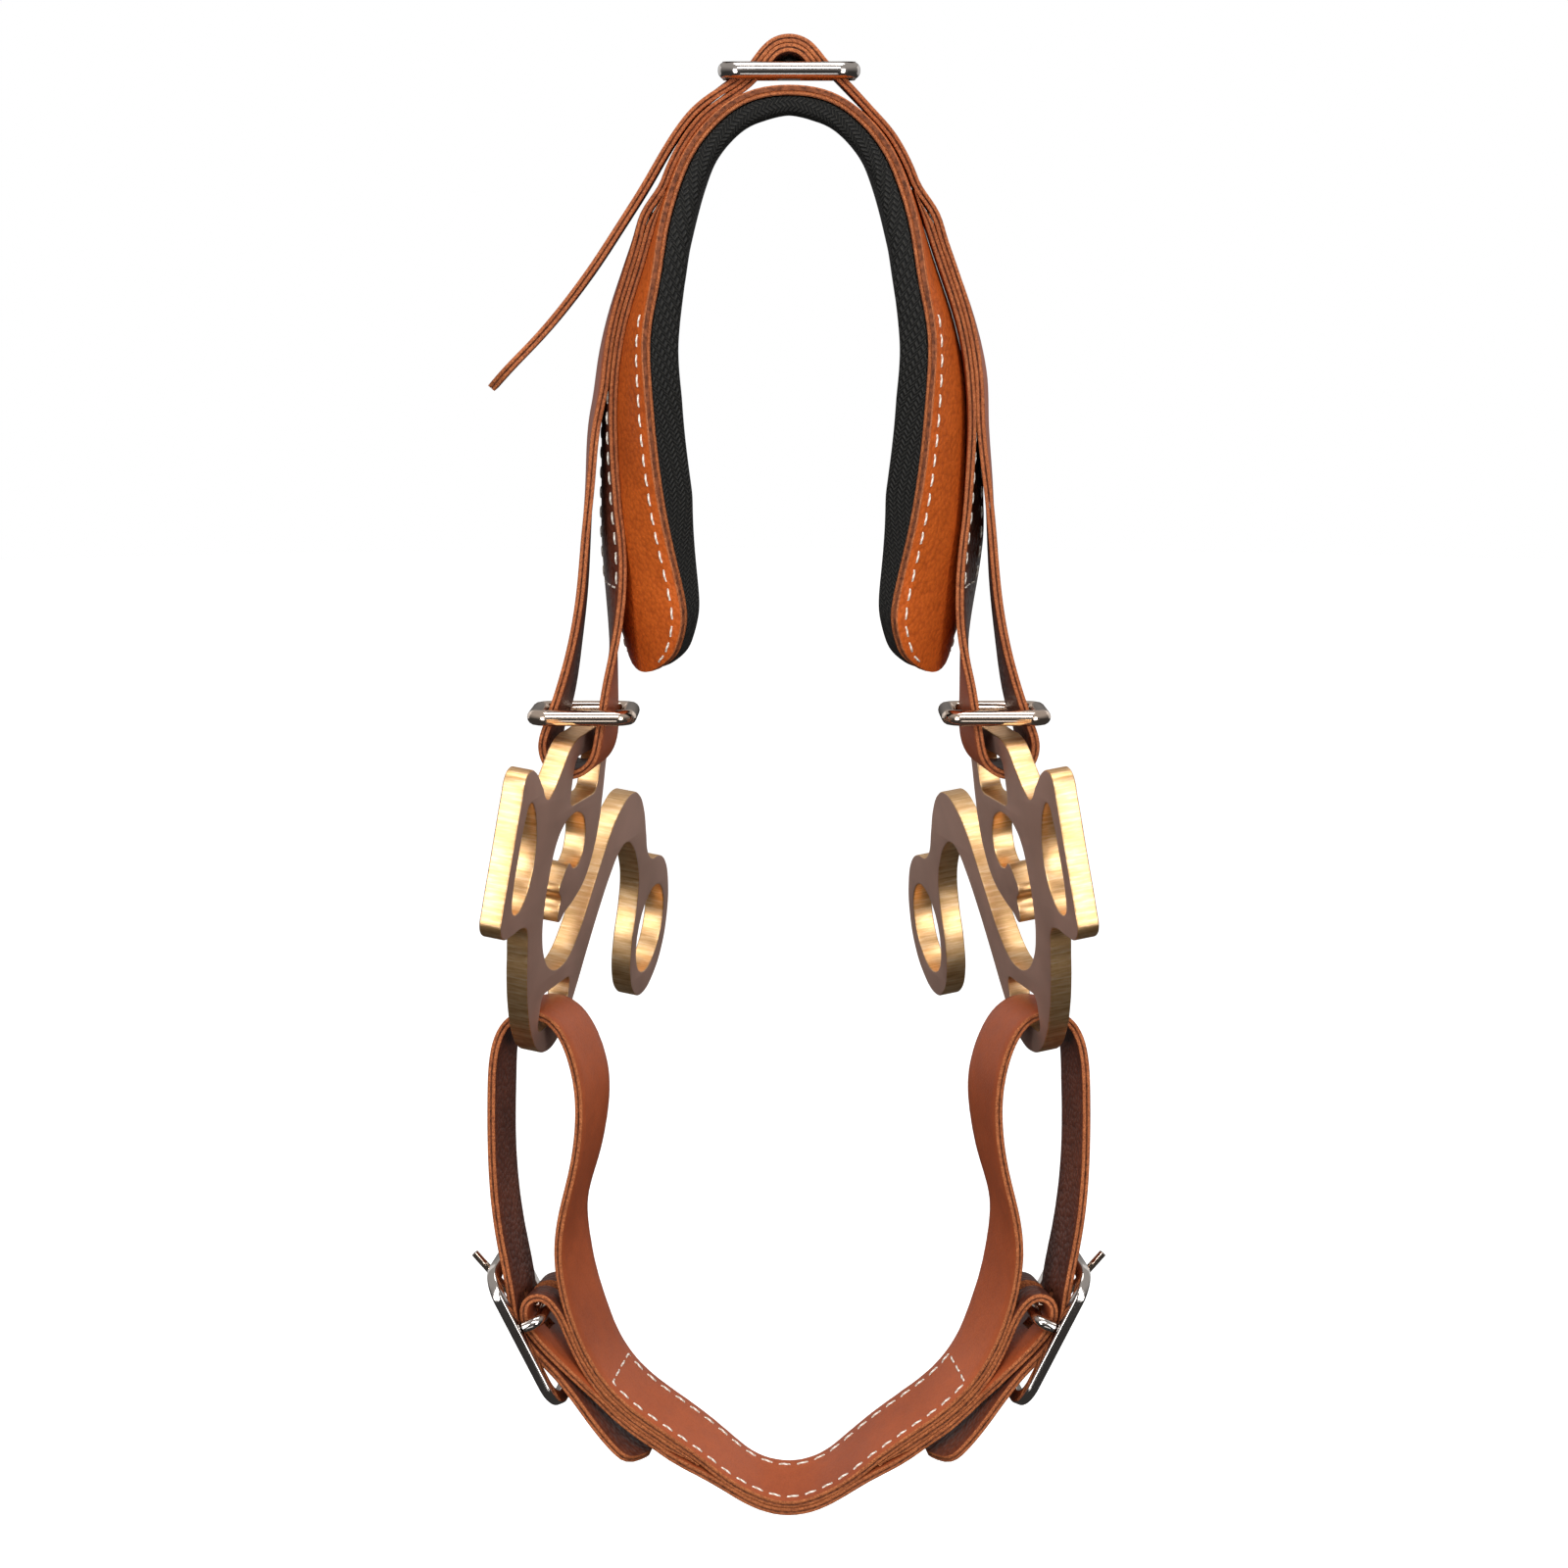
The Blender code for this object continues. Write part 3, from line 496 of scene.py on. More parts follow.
def webbing():
    """Black herringbone weave: chevrons of twill that run along the pad, painted lighter on the yarn crests
    and darker in the grooves.
    """
    n = Nodes("pad_herringbone")
    along, across, _ = n.parts(n.add("ShaderNodeUVMap", uv_map="weave").outputs["UV"])
    twill = n.math("ADD", n.math("PINGPONG", across, RIB_WIDTH), along)
    height = n.math("ADD", n.wave(twill, YARN_PITCH), n.wave(across, RIB_WIDTH, 0.15))
    fuzz = n.noise(3000.0, 3.0)
    # painted light and shade: the weave's crests lighter and its grooves darker, following the height of the
    # bump
    crest_and_groove_shading = ((0.25, (0.003, 0.003, 0.003)), (0.6, (0.009, 0.009, 0.008)), (0.95, (0.034, 0.032, 0.028)))
    colour = n.ramp(n.math("MULTIPLY", height, 0.66), crest_and_groove_shading)
    dust = n.ramp(fuzz, ((0.35, (0.6, 0.6, 0.6)), (0.65, (1.3, 1.28, 1.22))))
    colour = n.mix(0.5, colour, dust, "MULTIPLY")
    normal = n.bump(height, 0.9, 0.28)
    normal = n.bump(fuzz, 0.3, 0.06, normal)
    return n.finish(colour, n.spread(fuzz, 0.6, 0.85), normal, Specular_IOR_Level=0.3)


def thread():
    """Waxed off-white sewing thread with the twist of its strands, painted darker in the grooves between
    them.
    """
    n = Nodes("sewing_thread")
    along, around, _ = n.parts(n.add("ShaderNodeUVMap", uv_map="twist").outputs["UV"])
    strand = n.wave(n.math("ADD", n.math("MULTIPLY", along, 2.2), around), 1.0)
    # painted shade: darker in the grooves between the strands, lighter on their crests, following the twist's
    # bump
    colour = n.ramp(strand, ((0.0, (0.50, 0.42, 0.34)), (0.6, (0.80, 0.74, 0.66)),
                             (1.0, (0.88, 0.84, 0.78))))
    return n.finish(colour, 0.6, n.bump(strand, 0.6, 0.08), Specular_IOR_Level=0.3)


def plate_metal():
    """Cheek plate: faces painted a satin taupe that stands in for their reflection of grey surroundings, and
    gold walls ground across their width, with bright edges.
    """
    n = Nodes("plate_metal")
    level = n.parts(n.add("ShaderNodeTexCoord").outputs["Normal"])[2]
    face = n.spread(n.math("ABSOLUTE", level), 0.0, 1.0, 0.8, 0.95)
    grinding = n.noise(1100.0, 5.0, 0.7, n.stretched((1.0, 1.0, 0.1)))
    mottling = n.noise(160.0, 3.0, 0.6)
    haze = n.noise(60.0, 4.0, 0.5)
    walls = n.ramp(grinding, ((0.3, (0.60, 0.34, 0.13)), (0.5, (0.80, 0.51, 0.25)),
                              (0.72, (0.94, 0.73, 0.48))))
    stain = n.ramp(mottling, ((0.3, (0.80, 0.70, 0.60)), (0.6, (1.0, 1.0, 1.0))))
    walls = n.mix(0.55, walls, stain, "MULTIPLY")
    # painted reflection: the flat faces are the same metal as the walls, coloured a dull taupe that stands in
    # for their reflection of the grey surroundings
    faces = n.ramp(haze, ((0.3, (0.58, 0.385, 0.31)), (0.7, (0.66, 0.44, 0.36))))
    colour = n.mix(face, walls, faces)
    wall_rough = n.spread(grinding, 0.34, 0.50)
    face_rough = n.spread(haze, 0.54, 0.64)
    rough = n.add("ShaderNodeMix", data_type="FLOAT")
    for number, source in ((0, face), (2, wall_rough), (3, face_rough)):
        n.link(source, rough.inputs[number])
    wall_only = n.math("SUBTRACT", 1.0, face)
    normal = n.bump(n.math("MULTIPLY", grinding, wall_only), 0.22, 0.06)
    normal = n.bump(n.math("MULTIPLY", mottling, wall_only), 0.3, 0.14, normal)
    return n.finish(colour, rough.outputs[0], normal, Metallic=1.0)


def nickel(name, tint):
    """Polished plating with faint buffing marks and finger haze."""
    n = Nodes(name)
    haze = n.noise(110.0, 4.0)
    marks = n.noise(900.0, 4.0, 0.65, n.stretched((1.0, 0.2, 1.0)))
    colour = n.ramp(haze, ((0.3, tuple(0.86 * c for c in tint)), (0.7, tint)))
    rough = n.spread(haze, 0.09, 0.17)
    normal = n.bump(marks, 0.03, 0.02)
    return n.finish(colour, rough, normal, Metallic=1.0)


MATERIALS = {
    "wing": leather("leather_tan_pebbled", (0.46, 0.085, 0.009), (0.56, 0.108, 0.011), (0.64, 0.13, 0.015),
                    1.3, 0.34, 0.6, 0.55),
    "face": leather("leather_brown_smooth", (0.29, 0.064, 0.021), (0.37, 0.083, 0.026), (0.43, 0.10, 0.032),
                    0.6, 0.05, 0.25, 0.45),
    "lining": leather("leather_lining_pebbled", (0.085, 0.024, 0.014), (0.14, 0.040, 0.022),
                      (0.20, 0.058, 0.029), 1.5, 0.45, 0.8, 0.4),
    "edge": cut_edge(),
    "core": ply_core(),
    "webbing": webbing(),
    "thread": thread(),
    "plate": plate_metal(),
    "nickel": nickel("nickel_plating", (0.64, 0.60, 0.57)),
    "warm_nickel": nickel("nickel_plating_warm", (0.80, 0.65, 0.54)),
}


# ---------------------------------------------------------------- swept pieces

def place(point):
    """Metres in the frame from millimetres in the design's heights."""
    return (point - Vector((0.0, 0.0, ORIGIN_Z))) * MM


def fine(knots):
    return stations(knots, FINE_TURN, FINE_STEP)


def linked(name, data):
    """A new object in the scene."""
    item = bpy.data.objects.new(name, data)
    bpy.context.scene.collection.objects.link(item)
    return item


def mesh_of(bm, name, kinds=(), sharp=None):
    """The mesh that bm holds, with its materials; sharp is the angle above which edges stay sharp."""
    mesh = bpy.data.meshes.new(name)
    bm.to_mesh(mesh)
    bm.free()
    for kind in kinds:
        mesh.materials.append(MATERIALS[kind])
    if sharp is not None:
        mesh.set_sharp_from_angle(angle=math.radians(sharp))
    return mesh


def new_piece(name, data, body, slot, *replaced, matrix=None):
    piece = linked(name, data)
    if matrix is not None:
        piece.matrix_world = matrix
    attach(piece, body)
    if replaced:
        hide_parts(*replaced)
    return piece


def section_loop(half, columns, top, grain, edge, under):
    """Closed section of a ply or a stack: across its top, down one edge, back below and up the other edge.

    Each entry is w, depth and the material of the stretch that starts there. A row of edge is how far the
    corner is inside the half width, its depth, and the material after it on the way down and on the way up.
    """
    flat = half - EDGE_ROUND
    over = [(flat * (2.0 * k / columns - 1.0), top, grain) for k in range(columns)] + [(flat, top, "edge")]
    right = [(half - inset, depth, down) for inset, depth, down, _ in edge]
    left = [(inset - half, depth, up) for inset, depth, _, up in reversed(edge)]
    low, bottom, _ = right[-1]
    below = [(low * (1.0 - 2.0 * k / columns), bottom, under) for k in range(1, columns)]
    return over + right + below + left


def ply_section(half, sign, grain):
    """Section of one ply of a strap, on the side of the strap's middle that sign says."""
    top = sign * STRAP_HALF_THICKNESS
    bottom = sign * 0.03
    under_round = 0.22
    edge = ((0.3 * EDGE_ROUND, top - sign * 0.3 * EDGE_ROUND, "edge", "edge"),
            (0.0, top - sign * EDGE_ROUND, "edge", "edge"),
            (0.0, 0.5 * (top + bottom), "edge", "edge"),
            (0.0, bottom + sign * under_round, "core", "edge"),
            (under_round, bottom, "core", "core"))
    return section_loop(half, STRAP_COLUMNS, top, grain, edge, "core")


def girth(loop):
    """How far round a section each of its corners is."""
    far = [0.0]
    for (w0, d0, _), (w1, d1, _) in zip(loop, loop[1:] + loop[:1]):
        far.append(far[-1] + math.hypot(w1 - w0, d1 - d0))
    return far


def skin(bm, rings, marks, cap_mark, uv_layer=None, uv_of=None):
    """Smooth faces between rings of corners, and flat ends. uv_of(r, k) is the UV of ring r's corner k."""
    count = len(marks)
    for i in range(len(rings) - 1):
        for k in range(count):
            after = (k + 1) % count
            face = bm.faces.new((rings[i][k], rings[i][after], rings[i + 1][after], rings[i + 1][k]))
            face.smooth = True
            face.material_index = marks[k]
            if uv_layer:
                for loop, corner in zip(face.loops, ((i, k), (i, k + 1), (i + 1, k + 1), (i + 1, k))):
                    loop[uv_layer].uv = uv_of(*corner)
    for ring in (rings[0], list(reversed(rings[-1]))):
        bm.faces.new(ring).material_index = cap_mark


def sweep(name, rows, aheads, section, kinds, body, slot, replaced, uv_name=None, roughen=0.0):
    """A closed mesh whose rows follow section(row), with flat ends."""
    bm = bmesh.new()
    uv_layer = bm.loops.layers.uv.new(uv_name) if uv_name else None
    lengths = run_of(rows)
    rings = []
    for far, row, ahead in zip(lengths, rows, aheads):
        ring = []
        for w, depth, kind in section(row):
            if roughen and kind == "edge":
                w += math.copysign(roughen, w) * noise.noise(Vector((far * 0.7, w, depth * 3.0)))
            ring.append(bm.verts.new(place(section_point(row, ahead, w, depth))))
        rings.append(ring)
    marks = [kinds.index(kind) for _, _, kind in section(rows[0])]
    girths = [girth(section(row)) for row in rows] if uv_name else []
    cap_mark = kinds.index("edge") if "edge" in kinds else 0
    skin(bm, rings, marks, cap_mark, uv_layer, lambda r, k: (lengths[r], girths[r][k]))
    bmesh.ops.recalc_face_normals(bm, faces=bm.faces)
    return new_piece(name, mesh_of(bm, name, kinds, 50), body, slot, *replaced)


def shaped_ends(rows, aheads, ends):
    """Stations with a share of full thickness each, and with the two ends shaped.

    An end is a shape and how far it reaches: "round" in outline, "skived" thin, or "cut" straight.
    """
    lengths = run_of(rows)
    extra = np.array((0.15, 0.6, 1.5, 3.0))
    spots = np.unique(np.concatenate((lengths, extra, lengths[-1] - extra)))
    rows = np.column_stack([np.interp(spots, lengths, column) for column in rows.T])
    aheads = np.column_stack([np.interp(spots, lengths, column) for column in np.array(aheads).T])
    thickness = np.ones(len(spots))
    for distance, (shape, reach) in zip((spots, lengths[-1] - spots), ends):
        near = np.clip(distance / reach, 0.0, 1.0)
        if shape == "round":
            rows[:, 5] *= np.maximum(0.12, np.sqrt(1.0 - (1.0 - near) ** 2))
        if shape == "skived":
            thickness *= np.maximum(0.25, near)
    return np.column_stack((rows, thickness)), aheads


def strap(node, knots, body, face_sign=1.0, ends=(("cut", 1.0), ("cut", 1.0)), flush=1.0):
    """Both plies of one strap, each with its grain side out. Where it is skived, its flush side stays put."""
    rows, aheads = shaped_ends(*fine(knots), ends)
    seat = flush * STRAP_HALF_THICKNESS
    plies = (("face", "leather", face_sign), ("lining", "leather_lining", -face_sign))
    for ply, slot, sign in plies:
        def section(row, grain=ply, sign=sign):
            loop = ply_section(row[5], sign, grain)
            return [(w, seat + (depth - seat) * row[7], kind) for w, depth, kind in loop]
        sweep(f"{node}_{ply}_leather", rows, aheads, section, [ply, "edge", "core"], body, slot,
              [f"{node}_{ply}"], roughen=ROUGHNESS)
    return rows, aheads


# ---------------------------------------------------------------- stitching

def surface_line(rows, aheads, picks, depth):
    """Points and outward normals on a swept surface, for pairs of station and distance across."""
    points = []
    normals = []
    for index, w in picks:
        low = section_point(rows[index], aheads[index], w, depth)
        high = section_point(rows[index], aheads[index], w, depth + math.copysign(0.5, depth))
        points.append(low)
        normals.append((high - low).normalized())
    return points, normals


def stitch_row(bm, uv_layer, points, normals):
    """Saddle stitches along a line: each one rises from its hole, lies along the surface and dives again."""
    lengths = run_of(points)

    def at(distance):
        i = max(0, min(len(lengths) - 2, int(np.searchsorted(lengths, distance)) - 1))
        share = (distance - lengths[i]) / max(1e-6, lengths[i + 1] - lengths[i])
        return points[i].lerp(points[i + 1], share), normals[i].lerp(normals[i + 1], share).normalized()

    def uv_of(ring, corner):
        return ring / (len(STITCH_PROFILE) - 1), corner / STITCH_SIDES

    count = max(1, int(lengths[-1] / STITCH_PITCH))
    pitch = lengths[-1] / count
    for number in range(count):
        middle = (number + 0.5) * pitch
        slant = 0.16 * noise.noise(points[0] + Vector((number * 1.7, 0.0, 0.0)))
        rings = []
        for share, rise, swell in STITCH_PROFILE:
            spot, normal = at(middle + share * STITCH_LENGTH)
            ahead = (at(middle + 0.5)[0] - at(middle - 0.5)[0]).normalized()
            side = ahead.cross(normal).normalized()
            centre = spot + normal * rise + side * (slant * share * 2.0)
            ring = []
            for turn in range(STITCH_SIDES):
                angle = 2.0 * math.pi * turn / STITCH_SIDES
                offset = (side * math.cos(angle) + normal * math.sin(angle)) * STITCH_RADIUS * swell
                ring.append(bm.verts.new(place(centre + offset)))
            rings.append(ring)
        skin(bm, rings, [0] * STITCH_SIDES, 0, uv_layer, uv_of)


def stitching(name, lines, body):
    bm = bmesh.new()
    uv_layer = bm.loops.layers.uv.new("twist")
    for points, normals in lines:
        stitch_row(bm, uv_layer, points, normals)
    bmesh.ops.recalc_face_normals(bm, faces=bm.faces)
    return new_piece(name, mesh_of(bm, name, ["thread"]), body, "leather")


# ---------------------------------------------------------------- noseband

def fine_backing():
    """The design's backing path with two more stations at each tip, for the round ends."""
    tip = [tip_knot(angle) for angle in TIP_ANGLES]
    return fine(list(reversed(mirrored(tip))) + noseband_base() + tip)


def make_backing(rows, aheads):
    """Two plies with a groove between them at the cut edges."""
    edge = ((0.3 * EDGE_ROUND, BACKING_TOP - 0.3 * EDGE_ROUND, "edge", "edge"),
            (0.0, BACKING_TOP - EDGE_ROUND, "edge", "edge"), (0.0, 0.5 * BACKING_TOP, "edge", "core"),
            (0.0, 0.2, "core", "core"), (0.4, 0.0, "core", "edge"), (0.0, -0.2, "edge", "edge"),
            (0.0, -0.7, "edge", "edge"), (0.1, -0.92, "edge", "core"), (0.3, BACKING_BOTTOM, "core", "edge"))

    def section(row):
        return section_loop(max(1.2, row[5]), BACKING_COLUMNS, BACKING_TOP, "wing", edge, "core")

    sweep("noseband_backing_leather", rows, aheads, section, ["wing", "edge", "core"], "noseband", "leather",
          ["noseband_backing"], roughen=ROUGHNESS)


def pad_section(row):
    """Round-cornered section of the pad under the backing, fuller down the sides than over the nose."""
    edge = max(1.0, row[5] - PAD_INSET)
    corner = min(2.0, edge * 0.45)
    low = 0.7 * max(0.0, 1.0 - abs(row[0]) / 8.0) - float(np.interp(row[2], PAD_HEIGHTS, PAD_DEPTHS))
    side = [(edge, -PAD_TOP - 0.3), (edge, -PAD_TOP - 1.6), (edge, low + corner + 0.6)]
    turn = [(edge - corner + corner * math.cos(a), low + corner - corner * math.sin(a))
            for a in map(math.radians, (15, 40, 65, 90))]
    right = side + turn
    below = [((edge - corner) * (1.0 - 2.0 * k / 9.0), low) for k in range(1, 9)]
    left = [(-w, depth) for w, depth in reversed(right)]
    over = [((edge - 0.3) * (2.0 * k / 8.0 - 1.0), -PAD_TOP) for k in range(9)]
    return [(w, depth, "webbing") for w, depth in over + right + below + left]


def evened(shift):
    """The filling's pushes spread along the pad, as stuffing spreads them."""
    padded = np.pad(shift, ((PAD_SPREAD, PAD_SPREAD), (0, 0), (0, 0)), mode="edge")
    window = range(2 * PAD_SPREAD + 1)
    return sum(padded[i:i + len(shift)] for i in window) / len(window)


def fill_out(pad):
    """Cloth with air pressure inside, held along the backing: the pad crowns between its edges."""
    held = pad.vertex_groups.new(name="held")
    mesh = pad.data
    ring = len(pad_section(knot(0.0, 0.0)))
    total = len(mesh.vertices)
    for vertex in mesh.vertices:
        corner = vertex.index % ring
        near_top = corner < PAD_HELD or corner == ring - 1
        at_end = vertex.index < 3 * ring or vertex.index >= total - 3 * ring
        if near_top or at_end:
            held.add([vertex.index], 1.0, "REPLACE")
    rest = np.array([v.co for v in mesh.vertices])
    cloth = pad.modifiers.new("fill", "CLOTH")
    settings = cloth.settings
    settings.quality = 6
    settings.vertex_group_mass = "held"
    settings.use_pressure = True
    settings.uniform_pressure_force = PAD_PRESSURE
    settings.effector_weights.gravity = 0.0
    settings.tension_stiffness = 15.0
    settings.compression_stiffness = 15.0
    settings.bending_stiffness = 0.5
    cloth.point_cache.frame_start = 1
    cloth.point_cache.frame_end = PAD_FRAMES
    scene = bpy.context.scene
    for step in range(1, PAD_FRAMES + 1):
        scene.frame_set(step)
    evaluated = pad.evaluated_get(bpy.context.evaluated_depsgraph_get())
    moved = np.array([v.co for v in evaluated.data.vertices])
    pad.modifiers.remove(cloth)
    scene.frame_set(1)
    shift = moved - rest
    size = np.linalg.norm(shift, axis=1, keepdims=True)
    shift *= np.minimum(1.0, PAD_SWELL / np.maximum(size, 1e-9))
    shift = evened(shift.reshape(-1, ring, 3)).reshape(-1, 3)
    mesh.vertices.foreach_set("co", (rest + shift).astype(np.float32).ravel())
    mesh.update()


def make_pad(rows, aheads):
    pad = sweep("noseband_pad", rows, aheads, pad_section, ["webbing"], "noseband", "pad_cover",
                ["noseband_pad_cover", "noseband_foam"], uv_name="weave")
    fill_out(pad)
    smooth = pad.modifiers.new("smooth", "SUBSURF")
    smooth.levels = smooth.render_levels = 1


def laid(rows, aheads, first, last, depth, turned=False):
    """Knots, a few millimetres apart, of a strap that lies on fine stations."""
    knots = stack(rows, aheads, first, last, depth, turned)
    return knots[:-1:LAID_EVERY] + knots[-1:]


def make_noseband():
    coarse, _ = stations(noseband_base())
    rows, aheads = fine_backing()
    make_backing(rows, aheads)
    make_pad(rows, aheads)

    middle = len(coarse) // 2
    marks = [int(np.argmin(np.linalg.norm(rows[:, :3] - spot[:3], axis=1))) for spot in coarse]
    wing = marks[len(coarse) - 1 - 5]
    leg_top = marks[middle + 5]
    inner_leg = laid(rows, aheads, wing, leg_top - LEG_LAP, ON_BACKING, turned=True)
    thin = laid(rows, aheads, marks[middle + 2], marks[middle + 4], ON_BACKING)
    thick = laid(rows, aheads, leg_top, marks[middle + 8], ON_INNER_LEG)
    arch = [knot(7.0, 178.6), knot(4.1, 181.3, 0.0, -0.09), knot(2.3, 182.4, 0.0, -0.11),
            knot(0.0, 182.9, 0.0, -0.11), knot(-2.3, 182.4, 0.0, -0.11), knot(-4.1, 181.3, 0.0, -0.09),
            knot(-7.0, 178.4)]
    left = [knot(8.7, 177.0)] + arch + thin + thick + lower_loop(inner_leg)
    left_rows, left_aheads = fine(left)
    leave = next(i for i, row in enumerate(left_rows) if row[0] < -TAIL_LEAVES_X)
    tail = [knot(74.0, 101.0, half=6.5), knot(70.8, 104.6), knot(63.2, 112.4), knot(54.9, 122.0),
            knot(47.8, 131.5), knot(41.4, 141.1), knot(35.4, 150.4)]
    over_left = mirrored(laid(left_rows, left_aheads, leave, 0, STRAP_PITCH))
    right = mirrored(tail + over_left + thin + thick + lower_loop(inner_leg))

    lines = []
    for side in (-1.0, 1.0):
        wing = [i for i, row in enumerate(rows) if side * row[0] > 0.0 and row[2] < WING_STITCH_TOP
                and row_depth(rows, i) > WING_INSET and row[5] > WING_INSET + 2.0]
        wing.sort(key=lambda i: -rows[i][2])
        near = [(i, -(rows[i][5] - WING_INSET)) for i in wing]
        far = [(i, rows[i][5] - WING_INSET) for i in reversed(wing)]
        lines.append(surface_line(rows, aheads, near + far, BACKING_TOP))
    for name, knots, sign in (("left", left, 1.0), ("right", right, -1.0)):
        ends = (("cut", 1.0), ("skived", 9.0))
        strap_rows, strap_aheads = strap("noseband_strap_" + name, knots, "noseband", sign, ends, sign)
        lines.extend(leg_lines(strap_rows, strap_aheads, sign))
    stitching("noseband_stitching", lines, "noseband")


def row_depth(rows, index):
    """How far a station is from the nearer wing tip along the path."""
    from_start = float(np.linalg.norm(rows[index][:3] - rows[0][:3]))
    from_end = float(np.linalg.norm(rows[index][:3] - rows[-1][:3]))
    return min(from_start, from_end)


def leg_lines(rows, aheads, sign):
    """Stitch lines of the leg sewn to the wing: both edges and across its lower end."""
    lowest = int(np.argmin(rows[:, 2]))
    sewn = [i for i in range(lowest, len(rows)) if LEG_STITCH_LOW <= rows[i][2] <= LEG_STITCH_HIGH]
    depth = -sign * STRAP_HALF_THICKNESS
    lines = [surface_line(rows, aheads, [(i, w) for i in sewn], depth)
             for w in (-LEG_STITCH_W, LEG_STITCH_W)]
    across = [(sewn[0], LEG_STITCH_W * share) for share in (-1.0, -0.5, 0.0, 0.5, 1.0)]
    lines.append(surface_line(rows, aheads, across, depth))
    return lines


# ---------------------------------------------------------------- chin strap

def punched(piece, cutters):
    """The piece with holes where the cutters pass, as one plain mesh."""
    for cutter in cutters:
        cut = piece.modifiers.new("punch", "BOOLEAN")
        cut.operation = "DIFFERENCE"
        cut.object = cutter
        cut.material_mode = "TRANSFER"
    evaluated = piece.evaluated_get(bpy.context.evaluated_depsgraph_get())
    mesh = bpy.data.meshes.new_from_object(evaluated)
    piece.modifiers.clear()
    piece.data = mesh


def cutter(name, x, z, bm, size, kind):
    """A hidden piece at x, z with bm's unit shape at the given size, to be cut out of a strap."""
    bmesh.ops.scale(bm, vec=[s * MM for s in size], verts=bm.verts)
    piece = linked(name, mesh_of(bm, name, [kind]))
    piece.location = place(Vector((x, 0.0, z)))
    piece.hide_render = True
    return piece


def oval_cutter(name, x, z, size):
    """An oval cutter along X, through the billet where the tongue passes."""
    bm = bmesh.new()
    turn = Matrix.Rotation(math.radians(90), 4, "Y")
    bmesh.ops.create_cone(bm, cap_ends=True, segments=20, radius1=0.5, radius2=0.5, depth=1.0, matrix=turn)
    return cutter(name, x, z, bm, size, "core")


def slot_cutter(name, x, z, size):
    """A box through the fold of the outer strap, where the tongue turns."""
    bm = bmesh.new()
    bmesh.ops.create_cube(bm, size=1.0)
    return cutter(name, x, z, bm, size, "edge")


def make_chin_straps():
    bottom, leg, billet = chin_base()
    centre = [knot(0.0, -187.9, 0.0, 0.21)]
    left_half = bottom + leg + billet
    full = list(reversed(mirrored(left_half))) + centre + left_half
    ends = (("round", 7.0), ("round", 7.0))
    inner_rows, inner_aheads = strap("chin_inner_strap", full, "chin_strap", 1.0, ends)

    rows = np.array(list(reversed(mirrored(bottom))) + centre + bottom)
    aheads = np.gradient(rows[:, :3], axis=0)
    middle = len(rows) // 2
    near = stack(rows, aheads, middle + 1, middle + 2, -STRAP_PITCH)
    far = stack(rows, aheads, middle + 4, middle + 7, -2.0 * STRAP_PITCH)
    folded = stack(rows, aheads, middle + 9, middle + 3, -STRAP_PITCH, turned=True)
    half = near + far + buckle_loop() + folded
    low = stack(rows, aheads, middle, middle, -STRAP_PITCH)
    outer_path = list(reversed(mirrored(half))) + low + half
    ends = (("skived", 9.0), ("skived", 9.0))
    outer_rows, outer_aheads = strap("chin_outer_strap", outer_path, "chin_strap", 1.0, ends, -1.0)

    holes = []
    slots = []
    for side in (-1.0, 1.0):
        holes.append(oval_cutter("tongue_hole", side * 69.6, -137.9, (5.0, 4.4, 7.5)))
        slots.append(slot_cutter("crew_slot", side * 62.6, -138.4, (11.2, 4.6, 12.0)))
    for ply in ("face", "lining"):
        punched(bpy.data.objects[f"chin_inner_strap_{ply}_leather"], holes)
        punched(bpy.data.objects[f"chin_outer_strap_{ply}_leather"], slots)
    for cutter in holes + slots:
        bpy.data.objects.remove(cutter)

    lines = []
    for rows, aheads, depth in ((inner_rows, inner_aheads, STRAP_HALF_THICKNESS),
                                (outer_rows, outer_aheads, -STRAP_HALF_THICKNESS)):
        sewn = [i for i, row in enumerate(rows) if abs(row[0]) < CHIN_STITCH_X and row[2] < -150.0
                and frame_at(row, aheads[i])[2].z > 0.3]
        ring = [(i, -CHIN_STITCH_W) for i in sewn] + [(i, CHIN_STITCH_W) for i in reversed(sewn)]
        lines.append(surface_line(rows, aheads, ring + ring[:1], depth))
    stitching("chin_stitching", lines, "chin_strap")


# ---------------------------------------------------------------- metal

def solid_of(curve, kind, sharp, smooth_all=True):
    """Mesh of a bevelled curve, joined where its points meet; its level faces may stay flat."""
    curve.materials.append(MATERIALS[kind])
    maker = linked(curve.name + "_curve", curve)
    mesh = bpy.data.meshes.new_from_object(maker.evaluated_get(bpy.context.evaluated_depsgraph_get()))
    bpy.data.objects.remove(maker)
    bm = bmesh.new()
    bm.from_mesh(mesh)
    bmesh.ops.remove_doubles(bm, verts=bm.verts, dist=1e-6)
    for face in bm.faces:
        face.smooth = smooth_all or abs(face.normal.z) < 0.999
    bm.to_mesh(mesh)
    bm.free()
    mesh.set_sharp_from_angle(angle=math.radians(sharp))
    return mesh


